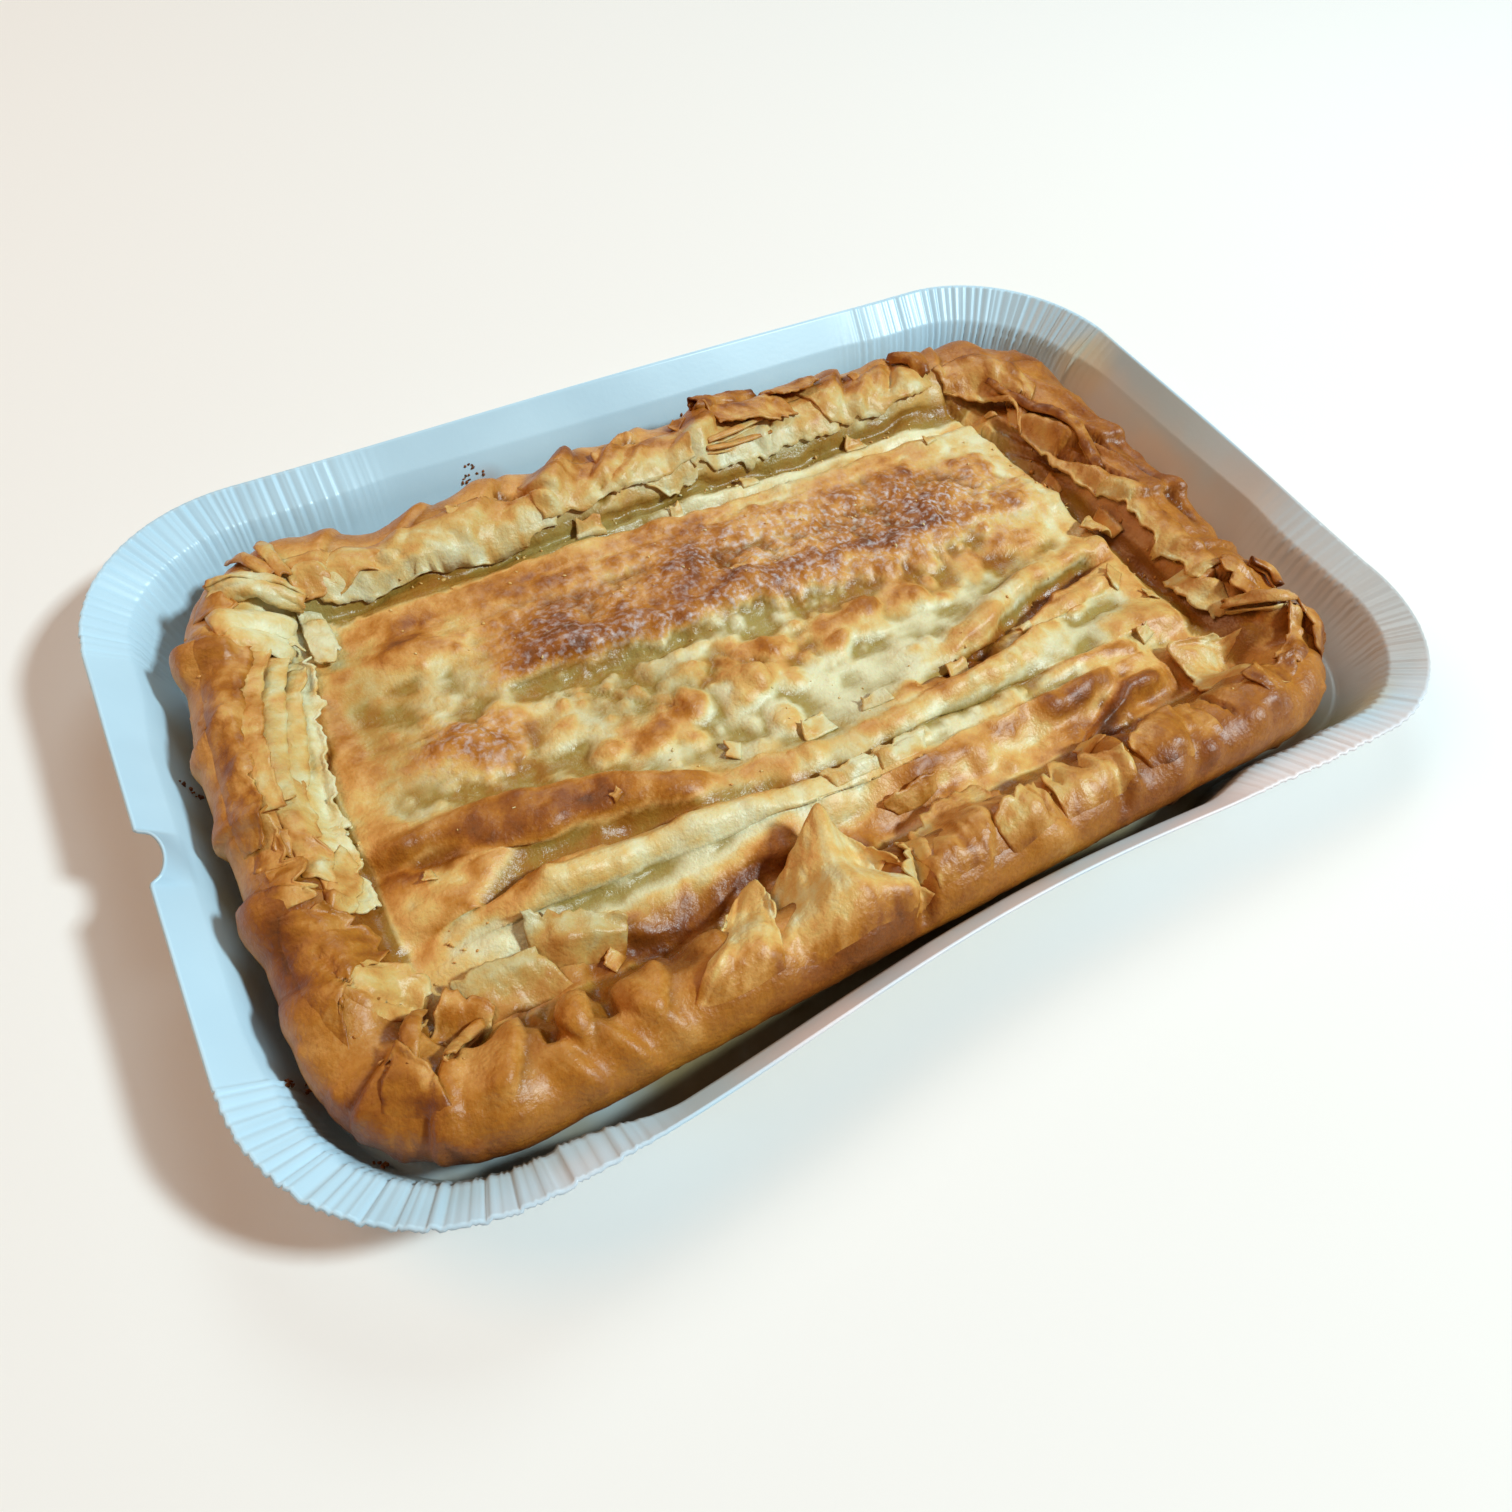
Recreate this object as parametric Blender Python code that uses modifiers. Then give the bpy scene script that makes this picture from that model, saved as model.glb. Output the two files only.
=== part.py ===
"""A whole baked mushroom pie in its pleated paperboard tray.

The pie is one solid: a rolled rim of dough all round a sunken lid with long folds.
The tray is one thin solid: flat floor, sloped wall and a flange with pleated corners.
Metres, +Z up, the tray's long side along X, its floor on Z = 0 at the middle.
"""
import math

import bpy
import bmesh
import numpy as np

MM = 0.001

# Tray, in millimetres
TRAY_LENGTH = 340.0
TRAY_WIDTH = 224.0
TRAY_CORNER_RADIUS = 49.0
BOARD = 0.8
CREASE_HEIGHT = 19.5
RIM_HEIGHT = 26.0
# Order of the sides: front, right, back, left
SIDE_BOW = (6.3, 2.4, 2.2, 0.0)
SIDE_LIFT = (0.5, 2.4, 2.5, 0.3)
FLANGE_ON_SIDE = (4.8, 6.4, 7.6, 7.0)
WALL_ON_SIDE = (4.2, 7.0, 7.6, 6.8)
# Order of the corners: front left, front right, back right, back left
CORNER_LIFT = (-0.5, -3.4, 6.0, 0.5)
FLANGE_AT_CORNER = 9.2
WALL_AT_CORNER = 6.4
# How far the pleats run along each side from its first and its last corner
PLEAT_RUN = ((30.0, 62.0), (43.0, 15.0), (41.0, 44.0), (35.0, 16.0))
PLEAT_PITCH = 5.2
PLEAT_DEPTH = 0.35
PLAIN_STEP = 15.0
FLANGE_BLEND = 7.0
NOTCH_AT = -4.0
NOTCH_HALF_WIDTH = 7.5
NOTCH_DEPTH = 4.4

# Pie, in millimetres
PIE_BASE = BOARD + 0.3
PIE_LEFT, PIE_RIGHT = -155.8, 143.0
PIE_FRONT, PIE_BACK = -99.2, 91.5
PIE_CORNER_RADIUS = 37.0
RIGHT_SIDE_SLANT = 0.10
# How far the left side draws in towards its back end
LEFT_SIDE_TAPER = 7.0
# Where the back side swells out or draws in: place along X, half length, reach
BACK_SWELLS = ((-86.0, 40.0, -5.5), (44.0, 80.0, 4.0))
# The rim's section from the base edge over the crest to the lid: inset and height
RIM_SECTION = ((7.2, 0.0), (4.9, 4.0), (2.3, 9.5), (0.5, 14.5), (0.7, 18.6), (3.4, 22.4),
               (8.0, 24.6), (13.0, 24.7), (17.8, 22.8), (21.4, 19.2), (24.8, 16.4), (29.0, 15.6))
# Width and height of the rim against that section: left, right, front, back
RIM_WIDTH = (1.00, 1.32, 0.98, 1.28)
RIM_RISE = (1.02, 1.02, 1.06, 0.98)
LID_HEIGHT = 17.0
ROWS_ON_RIM = 17
COLUMNS_ON_LID = 36
ROWS_ON_LID = 36


def smooth(low, high, value):
    """Rise from 0 at low to 1 at high with level ends."""
    t = np.clip((value - low) / (high - low), 0.0, 1.0)
    return t * t * (3.0 - 2.0 * t)


def bell(value, centre, half):
    """A rounded hump of height 1 that ends at half on either side of its centre."""
    t = np.clip(np.abs(value - centre) / half, 0.0, 1.0)
    return (1.0 - t * t) ** 2


def ripple(x, y, size, seed):
    """An uneven wavy field between about -1 and 1."""
    rng = np.random.default_rng(seed)
    total = np.zeros_like(x)
    for _ in range(7):
        turn = rng.uniform(0.0, math.pi)
        pitch = size * rng.uniform(0.7, 1.7)
        phase = rng.uniform(0.0, 2.0 * math.pi)
        along = x * math.cos(turn) + y * math.sin(turn)
        total += np.sin(2.0 * math.pi * along / pitch + phase)
    return total / 4.0


# Long folds of the lid: x and y of both ends, half width, height, how steep the front is
LID_FOLDS = (
    (-134.0, -17.0, -44.0, -44.0, 13.0, 3.6, 0.55),
    (-134.0, -45.0, 16.0, -53.0, 13.0, 4.8, 0.45),
    (-6.0, -49.0, 112.0, -50.0, 15.0, 4.6, 0.45),
    (4.0, -39.0, 104.0, -27.0, 9.0, 3.0, 0.40),
    (30.0, -30.0, 110.0, -14.0, 9.0, 2.2, 0.60),
    (-108.0, -63.0, -30.0, -66.0, 9.0, 2.2, 0.50),
    (-84.0, 24.0, 112.0, 4.0, 19.0, 2.8, 0.80),
    (-40.0, 40.0, 110.0, 36.0, 10.0, 1.4, 0.80),
)
# Blisters of the lid: x, y, half width along x, half width along y, height
BLISTERS = (
    (-97.0, 33.0, 15.0, 10.0, 2.6),
    (-97.0, -6.0, 19.0, 12.0, 3.4),
    (-19.0, 25.0, 15.0, 11.0, 2.0),
    (-55.0, -24.0, 14.0, 9.0, 2.2),
    (-38.0, -12.0, 15.0, 10.0, 1.8),
    (14.0, -10.0, 18.0, 10.0, 2.2),
    (-22.0, -19.0, 14.0, 9.0, 2.0),
    (60.0, 26.0, 24.0, 12.0, 1.6),
    (92.0, 12.0, 18.0, 14.0, 1.8),
)


def lid_height(x, y):
    """Height of the sunken lid over the tray floor."""
    height = LID_HEIGHT + 0.8 * ripple(x, y, 46.0, 3) + 0.35 * ripple(x, y, 15.0, 5)
    height -= 2.6 * smooth(46.0, 52.0, y + 0.02 * x)
    height -= 2.4 * smooth(-60.0, -70.0, y)
    for x0, y0, x1, y1, half, rise, steep in LID_FOLDS:
        along = np.clip((x - x0) / (x1 - x0), 0.0, 1.0)
        middle = y0 + (y1 - y0) * along
        off = y - middle
        width = np.where(off < 0.0, half * steep, half)
        fade = smooth(0.0, 0.14, along) * smooth(1.0, 0.84, along)
        height += rise * fade * bell(off / width, 0.0, 1.0)
    for cx, cy, half_x, half_y, rise in BLISTERS:
        far = np.hypot((x - cx) / half_x, (y - cy) / half_y)
        height += rise * bell(far, 0.0, 1.0)
    return height


# Overlapping folds across the rim: place along the side, half width, height, slant
BACK_FOLDS = ((-112.0, 16.0, 1.6, 0.5), (-84.0, 18.0, -2.6, 0.4), (-58.0, 15.0, 1.0, 0.8),
              (-38.0, 9.0, -1.8, 0.9), (-22.0, 13.0, 2.4, 0.9), (-2.0, 9.0, 2.2, 0.9),
              (22.0, 12.0, 2.6, 0.6), (44.0, 9.0, -1.2, 0.5), (66.0, 15.0, 2.0, 0.4),
              (98.0, 14.0, 1.8, 0.3), (124.0, 12.0, 3.2, 0.0))
FRONT_FOLDS = ((-124.0, 14.0, 1.4, 0.2), (-105.0, 6.0, 2.2, -0.5), (-94.0, 5.0, 2.4, -0.6),
               (-84.0, 5.0, 1.2, -0.5), (-62.0, 16.0, 1.4, -0.5), (-40.0, 15.0, 3.0, 0.1),
               (-25.0, 5.0, -3.6, 0.3), (-8.0, 12.0, 1.2, -0.6), (16.0, 12.0, 2.2, -0.5),
               (36.0, 5.0, -1.8, 0.3), (54.0, 12.0, 1.8, 0.2), (90.0, 26.0, 2.6, 0.0))
LEFT_FOLDS = ((52.0, 13.0, 2.2, 0.2), (24.0, 18.0, 0.8, 0.2), (2.0, 7.0, 1.6, 0.6),
              (-12.0, 8.0, -1.8, -0.4), (-34.0, 13.0, 1.8, 0.5), (-58.0, 15.0, 2.0, 0.3))
RIGHT_FOLDS = ((66.0, 14.0, 1.6, 0.4), (40.0, 18.0, 1.2, 0.5), (10.0, 14.0, -1.6, 0.4),
               (-14.0, 12.0, 1.4, 0.5), (-36.0, 10.0, -2.2, 0.2), (-52.0, 9.0, 2.2, 0.2),
               (-74.0, 13.0, 1.4, -0.3))


def folds_across(place, across, folds):
    """Relief of the folds that lie across one side of the rim."""
    relief = np.zeros_like(place)
    for middle, half, rise, slant in folds:
        off = place - middle - slant * across
        width = np.where(off > 0.0, 0.6 * half, half)
        relief += rise * bell(off / width, 0.0, 1.0)
    return relief


def rim_section():
    """The rim's section as even steps of path, inset and height."""
    points = np.array(RIM_SECTION)
    ends = np.vstack([2 * points[0] - points[1], points, 2 * points[-1] - points[-2]])
    curve = []
    for i in range(len(points) - 1):
        a, b, c, d = ends[i:i + 4]
        for t in np.linspace(0.0, 1.0, 12, endpoint=False):
            curve.append(0.5 * (2 * b + (c - a) * t + (2 * a - 5 * b + 4 * c - d) * t * t
                                + (3 * b - a - 3 * c + d) * t ** 3))
    curve = np.array(curve + [points[-1]])
    steps = np.hypot(*np.diff(curve, axis=0).T)
    path = np.concatenate([[0.0], np.cumsum(steps)])
    return path, curve[:, 0], curve[:, 1]


PATH, INSET, RISE = rim_section()
PATH_END = PATH[-1]


PLAIN_SLOPE = INSET[-1] / PATH_END


def section_at(path):
    """True and even inset, height, and outward and upward normal at a path length."""
    beyond = np.maximum(path - PATH_END, 0.0)
    inset = np.interp(path, PATH, INSET) + beyond
    even = np.minimum(path, PATH_END) * PLAIN_SLOPE + beyond
    rise = np.interp(path, PATH, RISE)
    step = 1.2
    run = np.interp(path + step, PATH, INSET) - np.interp(path - step, PATH, INSET)
    climb = np.interp(path + step, PATH, RISE) - np.interp(path - step, PATH, RISE)
    run = np.where(path > PATH_END - step, 2.0 * step, run)
    climb = np.where(path > PATH_END - step, 0.0, climb)
    length = np.hypot(run, climb)
    return inset, even, rise, climb / length, run / length


def round_corner(x, y, half_x, half_y, radius):
    """Bend a rectangle's corner squares into quarter discs; also give the way outward."""
    s = np.clip((np.abs(x) - half_x + radius) / radius, 0.0, 1.0)
    t = np.clip((np.abs(y) - half_y + radius) / radius, 0.0, 1.0)
    ring = np.maximum(s, t)
    turn = math.pi / 4.0 * np.minimum(s, t) / np.maximum(ring, 1e-6)
    near_x = np.where(s >= t, np.cos(turn), np.sin(turn))
    near_y = np.where(s >= t, np.sin(turn), np.cos(turn))
    side_x = np.sign(x)
    side_y = np.sign(y)
    x = x - side_x * radius * (s - ring * near_x)
    y = y - side_y * radius * (t - ring * near_y)
    return x, y, side_x * near_x, side_y * near_y


def pie_surface(path_left, path_right, path_front, path_back):
    """Place points of the pie's skin by their path lengths from the four base edges."""
    half_x = (PIE_RIGHT - PIE_LEFT) / 2.0
    half_y = (PIE_BACK - PIE_FRONT) / 2.0
    from_left = path_left < path_right
    from_front = path_front < path_back
    width_x = np.where(from_left, RIM_WIDTH[0], RIM_WIDTH[1])
    width_y = np.where(from_front, RIM_WIDTH[2], RIM_WIDTH[3])
    path_x = np.minimum(path_left, path_right) / width_x
    path_y = np.minimum(path_front, path_back) / width_y
    in_x, even_x, up_x, out_x, top_x = section_at(path_x)
    in_y, even_y, up_y, out_y, top_y = section_at(path_y)
    flat_x = np.where(from_left, -1.0, 1.0) * (half_x - even_x * width_x)
    flat_y = np.where(from_front, -1.0, 1.0) * (half_y - even_y * width_y)
    x, y, away_x, away_y = round_corner(flat_x, flat_y, half_x, half_y, PIE_CORNER_RADIUS)

    share_y = smooth(-5.0, 5.0, even_x * width_x - even_y * width_y)
    share_x = 1.0 - share_y
    nearest = share_x * path_x + share_y * path_y
    inward = share_x * (in_x - even_x) * width_x + share_y * (in_y - even_y) * width_y
    outward = share_x * out_x + share_y * out_y
    upward = share_x * top_x + share_y * top_y
    x = x - away_x * inward + (PIE_LEFT + PIE_RIGHT) / 2.0
    y = y - away_y * inward + (PIE_FRONT + PIE_BACK) / 2.0
    x = x + RIGHT_SIDE_SLANT * y * smooth(0.0, half_x, x)
    x = x + LEFT_SIDE_TAPER * smooth(10.0, 80.0, y) * smooth(0.0, -half_x, x)
    for place, half, reach in BACK_SWELLS:
        y = y + reach * bell(x, place, half) * smooth(0.0, half_y, y)

    rise_x = np.where(from_left, RIM_RISE[0], RIM_RISE[1])
    rise_y = np.where(from_front, RIM_RISE[2], RIM_RISE[3])
    rim = share_x * up_x * rise_x + share_y * up_y * rise_y
    onto_lid = smooth(PATH_END - 12.0, PATH_END - 1.0, nearest)
    z = PIE_BASE + rim * (1.0 - onto_lid) + (lid_height(x, y) - PIE_BASE) * onto_lid

    relief_y = np.where(from_front, folds_across(x, y - PIE_FRONT, FRONT_FOLDS),
                        folds_across(x, y - PIE_BACK, BACK_FOLDS))
    relief_x = np.where(from_left, folds_across(y, x - PIE_LEFT, LEFT_FOLDS),
                        folds_across(y, PIE_RIGHT - x, RIGHT_FOLDS))
    on_rim = smooth(9.0, 22.0, nearest) * smooth(PATH_END + 1.0, PATH_END - 9.0, nearest)
    relief = on_rim * (share_x * relief_x + share_y * relief_y)
    relief += 0.45 * ripple(x, y, 17.0, 11) * smooth(6.0, 16.0, nearest)
    sideways = 0.5 * outward * relief * smooth(16.0, 24.0, nearest)
    return x + away_x * sideways, y + away_y * sideways, z + upward * relief


def grid_paths(low, high, width_low, width_high, count):
    """Path lengths across the pie from both base edges, closer together on the rims."""
    rim_low = PATH_END * width_low
    rim_high = PATH_END * width_high
    flat_low = low + INSET[-1] * width_low
    flat_high = high - INSET[-1] * width_high
    span = flat_high - flat_low
    total = rim_low + span + rim_high
    first = np.linspace(0.0, rim_low, ROWS_ON_RIM + 1)
    middle = np.linspace(rim_low, rim_low + span, count + 1)[1:-1]
    last = np.linspace(total - rim_high, total, ROWS_ON_RIM + 1)
    path = np.concatenate([first, middle, last])
    return path, total - path


def add_object(name, bm, material, collection):
    """Turn a bmesh into a named object with one material."""
    mesh = bpy.data.meshes.new(name)
    bm.to_mesh(mesh)
    bm.free()
    mesh.materials.append(material)
    obj = bpy.data.objects.new(name, mesh)
    collection.objects.link(obj)
    return obj


def apply_modifiers(obj):
    """Keep the shape that an object's modifiers give it."""
    graph = bpy.context.evaluated_depsgraph_get()
    mesh = bpy.data.meshes.new_from_object(obj.evaluated_get(graph))
    obj.modifiers.clear()
    obj.data = mesh


def grid_solid(path_x, path_y):
    """A grid moved onto the pie's skin and closed underneath by one flat face."""
    left, right = path_x
    front, back = path_y
    bm = bmesh.new()
    bmesh.ops.create_grid(bm, x_segments=len(left) - 1, y_segments=len(front) - 1, size=1.0)
    columns = np.array([round((v.co.x + 1.0) / 2.0 * (len(left) - 1)) for v in bm.verts])
    rows = np.array([round((v.co.y + 1.0) / 2.0 * (len(front) - 1)) for v in bm.verts])
    x, y, z = pie_surface(left[columns], right[columns], front[rows], back[rows])
    edge = (columns == 0) | (columns == len(left) - 1) | (rows == 0) | (rows == len(front) - 1)
    z = np.where(edge, PIE_BASE, z)
    for v, px, py, pz in zip(bm.verts, x, y, z):
        v.co = (px * MM, py * MM, pz * MM)
    rim = [e for e in bm.edges if e.is_boundary]
    bmesh.ops.contextual_create(bm, geom=rim)
    bmesh.ops.triangulate(bm, faces=bm.faces)
    bmesh.ops.recalc_face_normals(bm, faces=bm.faces)
    return bm


# Large flaps of torn dough: outline of the sheet as x, y, z corners, all on the pie
FLAPS = {
    "pointed": ((-74.0, -93.0, 18.0), (-56.0, -86.0, 27.0), (-41.0, -69.0, 33.0),
                (-35.0, -73.0, 31.5), (-28.0, -86.0, 27.0), (-20.0, -95.0, 18.0)),
    "corner": ((-150.0, -24.0, 22.0), (-140.0, -36.0, 28.0), (-127.0, -62.0, 24.5),
               (-129.0, -72.0, 25.5), (-142.0, -84.0, 22.0), (-151.0, -60.0, 20.0)),
    "long": ((102.0, 72.0, 22.0), (122.0, 66.0, 24.0), (124.0, 40.0, 23.0),
             (112.0, 2.0, 21.5), (103.0, 30.0, 25.5), (97.0, 66.0, 24.5)),
    "torn": ((-16.0, -93.0, 20.0), (-19.0, -80.0, 27.0), (-10.0, -73.0, 28.5),
             (6.0, -72.0, 27.5), (14.0, -82.0, 27.0), (8.0, -94.0, 20.0)),
    "sheet": ((78.0, -90.0, 20.0), (70.0, -70.0, 26.5), (84.0, -60.0, 27.0),
              (100.0, -62.0, 26.0), (108.0, -80.0, 24.0), (100.0, -92.0, 20.0)),
}
FLAP_THICKNESS = 2.2


def flap_sheet(corners):
    """A sheet with the given corners, raised a little in its middle."""
    bm = bmesh.new()
    bmesh.ops.create_circle(bm, cap_ends=True, radius=1.0, segments=len(corners))
    for v, corner in zip(bm.verts, corners):
        v.co = [value * MM for value in corner]
    middle = bmesh.ops.poke(bm, faces=bm.faces)["verts"][0]
    middle.co.z += 1.0 * MM
    bmesh.ops.recalc_face_normals(bm, faces=bm.faces)
    return bm


def join_flaps(pie, material, collection):
    """Grow each flap into the pie."""
    for name, corners in FLAPS.items():
        flap = add_object("flap_" + name, flap_sheet(corners), material, collection)
        sheet = flap.modifiers.new("thickness", "SOLIDIFY")
        sheet.thickness = FLAP_THICKNESS * MM
        sheet.offset = 0.0
        joined = pie.modifiers.new("join_" + name, "BOOLEAN")
        joined.operation = "UNION"
        joined.solver = "EXACT"
        joined.object = flap
    apply_modifiers(pie)
    for name in FLAPS:
        bpy.data.objects.remove(bpy.data.objects["flap_" + name])


def build_pie(material, collection):
    """The whole pie: rolled rim, folded lid and torn flaps in one solid."""
    across = grid_paths(PIE_LEFT, PIE_RIGHT, RIM_WIDTH[0], RIM_WIDTH[1], COLUMNS_ON_LID)
    along = grid_paths(PIE_FRONT, PIE_BACK, RIM_WIDTH[2], RIM_WIDTH[3], ROWS_ON_LID)
    pie = add_object("pie", grid_solid(across, along), material, collection)
    join_flaps(pie, material, collection)
    return pie


def tray_sides():
    """The four straight sides: start, direction, outward normal, length, side number."""
    half_x = TRAY_LENGTH / 2.0
    half_y = TRAY_WIDTH / 2.0
    radius = TRAY_CORNER_RADIUS
    long_run = TRAY_LENGTH - 2.0 * radius
    short_run = TRAY_WIDTH - 2.0 * radius
    return (
        ((-half_x + radius, -half_y), (1.0, 0.0), (0.0, -1.0), long_run),
        ((half_x, -half_y + radius), (0.0, 1.0), (1.0, 0.0), short_run),
        ((half_x - radius, half_y), (-1.0, 0.0), (0.0, 1.0), long_run),
        ((-half_x, half_y - radius), (0.0, -1.0), (-1.0, 0.0), short_run),
    )


def blend(a, b, share):
    return a + (b - a) * share


def side_station(side, place, pleat):
    """One place on a straight side of the rim."""
    start, heading, normal, run = tray_sides()[side]
    t = place / run
    swell = math.sin(math.pi * t) ** 2
    first, last = PLEAT_RUN[side]
    plain = float(smooth(first - FLANGE_BLEND, first, place)
                  * smooth(run - last + FLANGE_BLEND, run - last, place))
    reach = -SIDE_BOW[side] * swell
    lift = blend(CORNER_LIFT[side], CORNER_LIFT[(side + 1) % 4], t) + SIDE_LIFT[side] * swell
    flange = blend(FLANGE_AT_CORNER, FLANGE_ON_SIDE[side], plain)
    wall = blend(WALL_AT_CORNER, WALL_ON_SIDE[side], plain)
    x = start[0] + heading[0] * place + normal[0] * reach
    y = start[1] + heading[1] * place + normal[1] * reach
    if side == 3:
        off = min(abs(y - NOTCH_AT) / NOTCH_HALF_WIDTH, 1.0)
        cut = NOTCH_DEPTH * math.sqrt(1.0 - off * off)
        return (x + cut, y, lift, normal, flange - cut, wall, 0.0)
    return (x, y, lift, normal, flange, wall, pleat * (1.0 - plain))


def corner_station(corner, turn, pleat):
    """One place on a rounded corner of the rim, turn degrees round its arc."""
    side = (corner + 3) % 4
    start, heading, normal, run = tray_sides()[side]
    radius = TRAY_CORNER_RADIUS
    cx = start[0] + heading[0] * run - normal[0] * radius
    cy = start[1] + heading[1] * run - normal[1] * radius
    angle = math.atan2(normal[1], normal[0]) + math.radians(turn)
    normal = (math.cos(angle), math.sin(angle))
    x = cx + radius * normal[0]
    y = cy + radius * normal[1]
    return (x, y, CORNER_LIFT[corner], normal, FLANGE_AT_CORNER, WALL_AT_CORNER, pleat)


def side_places(side):
    """Where the stations of one side lie: close on the pleats and round the notch."""
    run = tray_sides()[side][3]
    first, last = PLEAT_RUN[side]
    half = PLEAT_PITCH / 2.0
    places = list(np.arange(half, first, half))
    places += list(np.arange(first, run - last, PLAIN_STEP)[1:])
    places += list(np.arange(run - last, run - half / 2.0, half))
    if side == 3:
        middle = TRAY_WIDTH / 2.0 - TRAY_CORNER_RADIUS - NOTCH_AT
        places = [p for p in places if abs(p - middle) > NOTCH_HALF_WIDTH + 1.5]
        places += list(middle + NOTCH_HALF_WIDTH * np.array([-1, -0.85, -0.5, 0, 0.5, 0.85, 1]))
    return sorted(places)


def tray_stations():
    """All places round the rim, in order, with pleats raised and sunk in turn."""
    stations = []
    arc = math.pi / 2.0 * TRAY_CORNER_RADIUS
    steps = 2 * round(arc / PLEAT_PITCH)
    for side in range(4):
        for place in side_places(side):
            stations.append(side_station(side, place, 1.0 if len(stations) % 2 else -1.0))
        for step in range(steps + 1):
            pleat = 1.0 if len(stations) % 2 else -1.0
            stations.append(corner_station((side + 1) % 4, 90.0 * step / steps, pleat))
    return stations


def tray_section(lift, flange, wall, pleat):
    """Outset from the edge and height of the wall's foot, the crease and the edge."""
    foot = np.array([-flange - wall, BOARD])
    crease = np.array([-flange, CREASE_HEIGHT + 0.5 * lift])
    edge = np.array([0.0, RIM_HEIGHT + lift])
    run, climb = edge - foot
    tilt = np.array([climb, -run]) / math.hypot(run, climb)
    return foot, crease - tilt * PLEAT_DEPTH * pleat, edge - tilt * PLEAT_DEPTH * pleat


def build_tray(material, collection):
    """The thin pleated tray: floor, wall and flange in one sheet, then its thickness."""
    stations = tray_stations()
    bm = bmesh.new()
    bmesh.ops.create_circle(bm, cap_ends=True, radius=1.0, segments=len(stations))
    ring = list(bm.verts)
    for part_of_section in range(3):
        if part_of_section:
            edges = [e for e in bm.edges if e.is_boundary]
            grown = bmesh.ops.extrude_edge_only(bm, edges=edges)["geom"]
            new_verts = {v for v in grown if isinstance(v, bmesh.types.BMVert)}
            ring = [next(e.other_vert(v) for e in v.link_edges if e.other_vert(v) in new_verts)
                    for v in ring]
        for v, (x, y, lift, normal, flange, wall, pleat) in zip(ring, stations):
            outset, height = tray_section(lift, flange, wall, pleat)[part_of_section]
            spot = (x + normal[0] * outset, y + normal[1] * outset, height)
            v.co = [value * MM for value in spot]
    bmesh.ops.triangulate(bm, faces=[f for f in bm.faces if len(f.verts) == 4])
    bmesh.ops.recalc_face_normals(bm, faces=bm.faces)
    floor = max(bm.faces, key=lambda face: len(face.verts))
    if floor.normal.z < 0.0:
        bmesh.ops.reverse_faces(bm, faces=bm.faces)
    tray = add_object("tray", bm, material, collection)
    sheet = tray.modifiers.new("board", "SOLIDIFY")
    sheet.thickness = BOARD * MM
    sheet.offset = -1.0
    sheet.use_even_offset = True
    apply_modifiers(tray)
    for v in tray.data.vertices:
        if v.co.z < 0.5 * BOARD * MM:
            v.co.z = 0.0
    return tray


def plain_material(name, colour, roughness):
    """A plain coloured material."""
    material = bpy.data.materials.new(name)
    material.use_nodes = True
    shader = material.node_tree.nodes["Principled BSDF"]
    shader.inputs["Base Color"].default_value = (*colour, 1.0)
    shader.inputs["Roughness"].default_value = roughness
    return material


def build():
    for obj in list(bpy.data.objects):
        bpy.data.objects.remove(obj)
    collection = bpy.data.collections.new("mushroom_pie")
    bpy.context.scene.collection.children.link(collection)
    crust = plain_material("crust", (0.62, 0.36, 0.13), 0.45)
    board = plain_material("board", (0.80, 0.86, 0.88), 0.40)
    build_tray(board, collection)
    build_pie(crust, collection)


build()
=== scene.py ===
"""Looks of a whole baked mushroom pie in its pleated paperboard tray.

Sizes and places are in millimetres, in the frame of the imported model: +Z up, the
tray's long side along X, its floor on Z = 0. Each mesh is written in metres.
"""
import math

import bmesh
import bpy
import numpy as np
from mathutils import Matrix, Vector
from mathutils.bvhtree import BVHTree


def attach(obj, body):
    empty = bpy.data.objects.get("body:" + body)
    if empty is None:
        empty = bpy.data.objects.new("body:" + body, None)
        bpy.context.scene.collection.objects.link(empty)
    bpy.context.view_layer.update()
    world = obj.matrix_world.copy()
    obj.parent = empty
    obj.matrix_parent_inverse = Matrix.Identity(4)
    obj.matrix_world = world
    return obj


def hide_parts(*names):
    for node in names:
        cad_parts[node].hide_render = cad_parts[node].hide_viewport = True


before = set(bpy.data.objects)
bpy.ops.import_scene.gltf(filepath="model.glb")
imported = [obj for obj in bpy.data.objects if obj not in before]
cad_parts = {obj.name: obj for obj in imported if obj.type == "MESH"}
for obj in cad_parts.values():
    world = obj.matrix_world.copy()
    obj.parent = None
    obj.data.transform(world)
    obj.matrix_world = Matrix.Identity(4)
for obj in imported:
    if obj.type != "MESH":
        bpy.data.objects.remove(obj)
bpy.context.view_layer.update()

MM = 0.001

# Tray
TRAY_LENGTH = 340.0
TRAY_WIDTH = 224.0
TRAY_CORNER_RADIUS = 49.0
BOARD = 0.8
CREASE_HEIGHT = 19.5
RIM_HEIGHT = 26.0
# Order of the sides: front, right, back, left
SIDE_BOW = (6.3, 2.4, 2.2, 0.0)
SIDE_LIFT = (0.5, 2.4, 2.5, 0.3)
FLANGE_ON_SIDE = (4.8, 6.4, 7.6, 7.0)
WALL_ON_SIDE = (4.2, 7.0, 7.6, 6.8)
# Order of the corners: front left, front right, back right, back left
CORNER_LIFT = (-0.5, -3.4, 6.0, 0.5)
FLANGE_AT_CORNER = 9.2
WALL_AT_CORNER = 6.4
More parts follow.
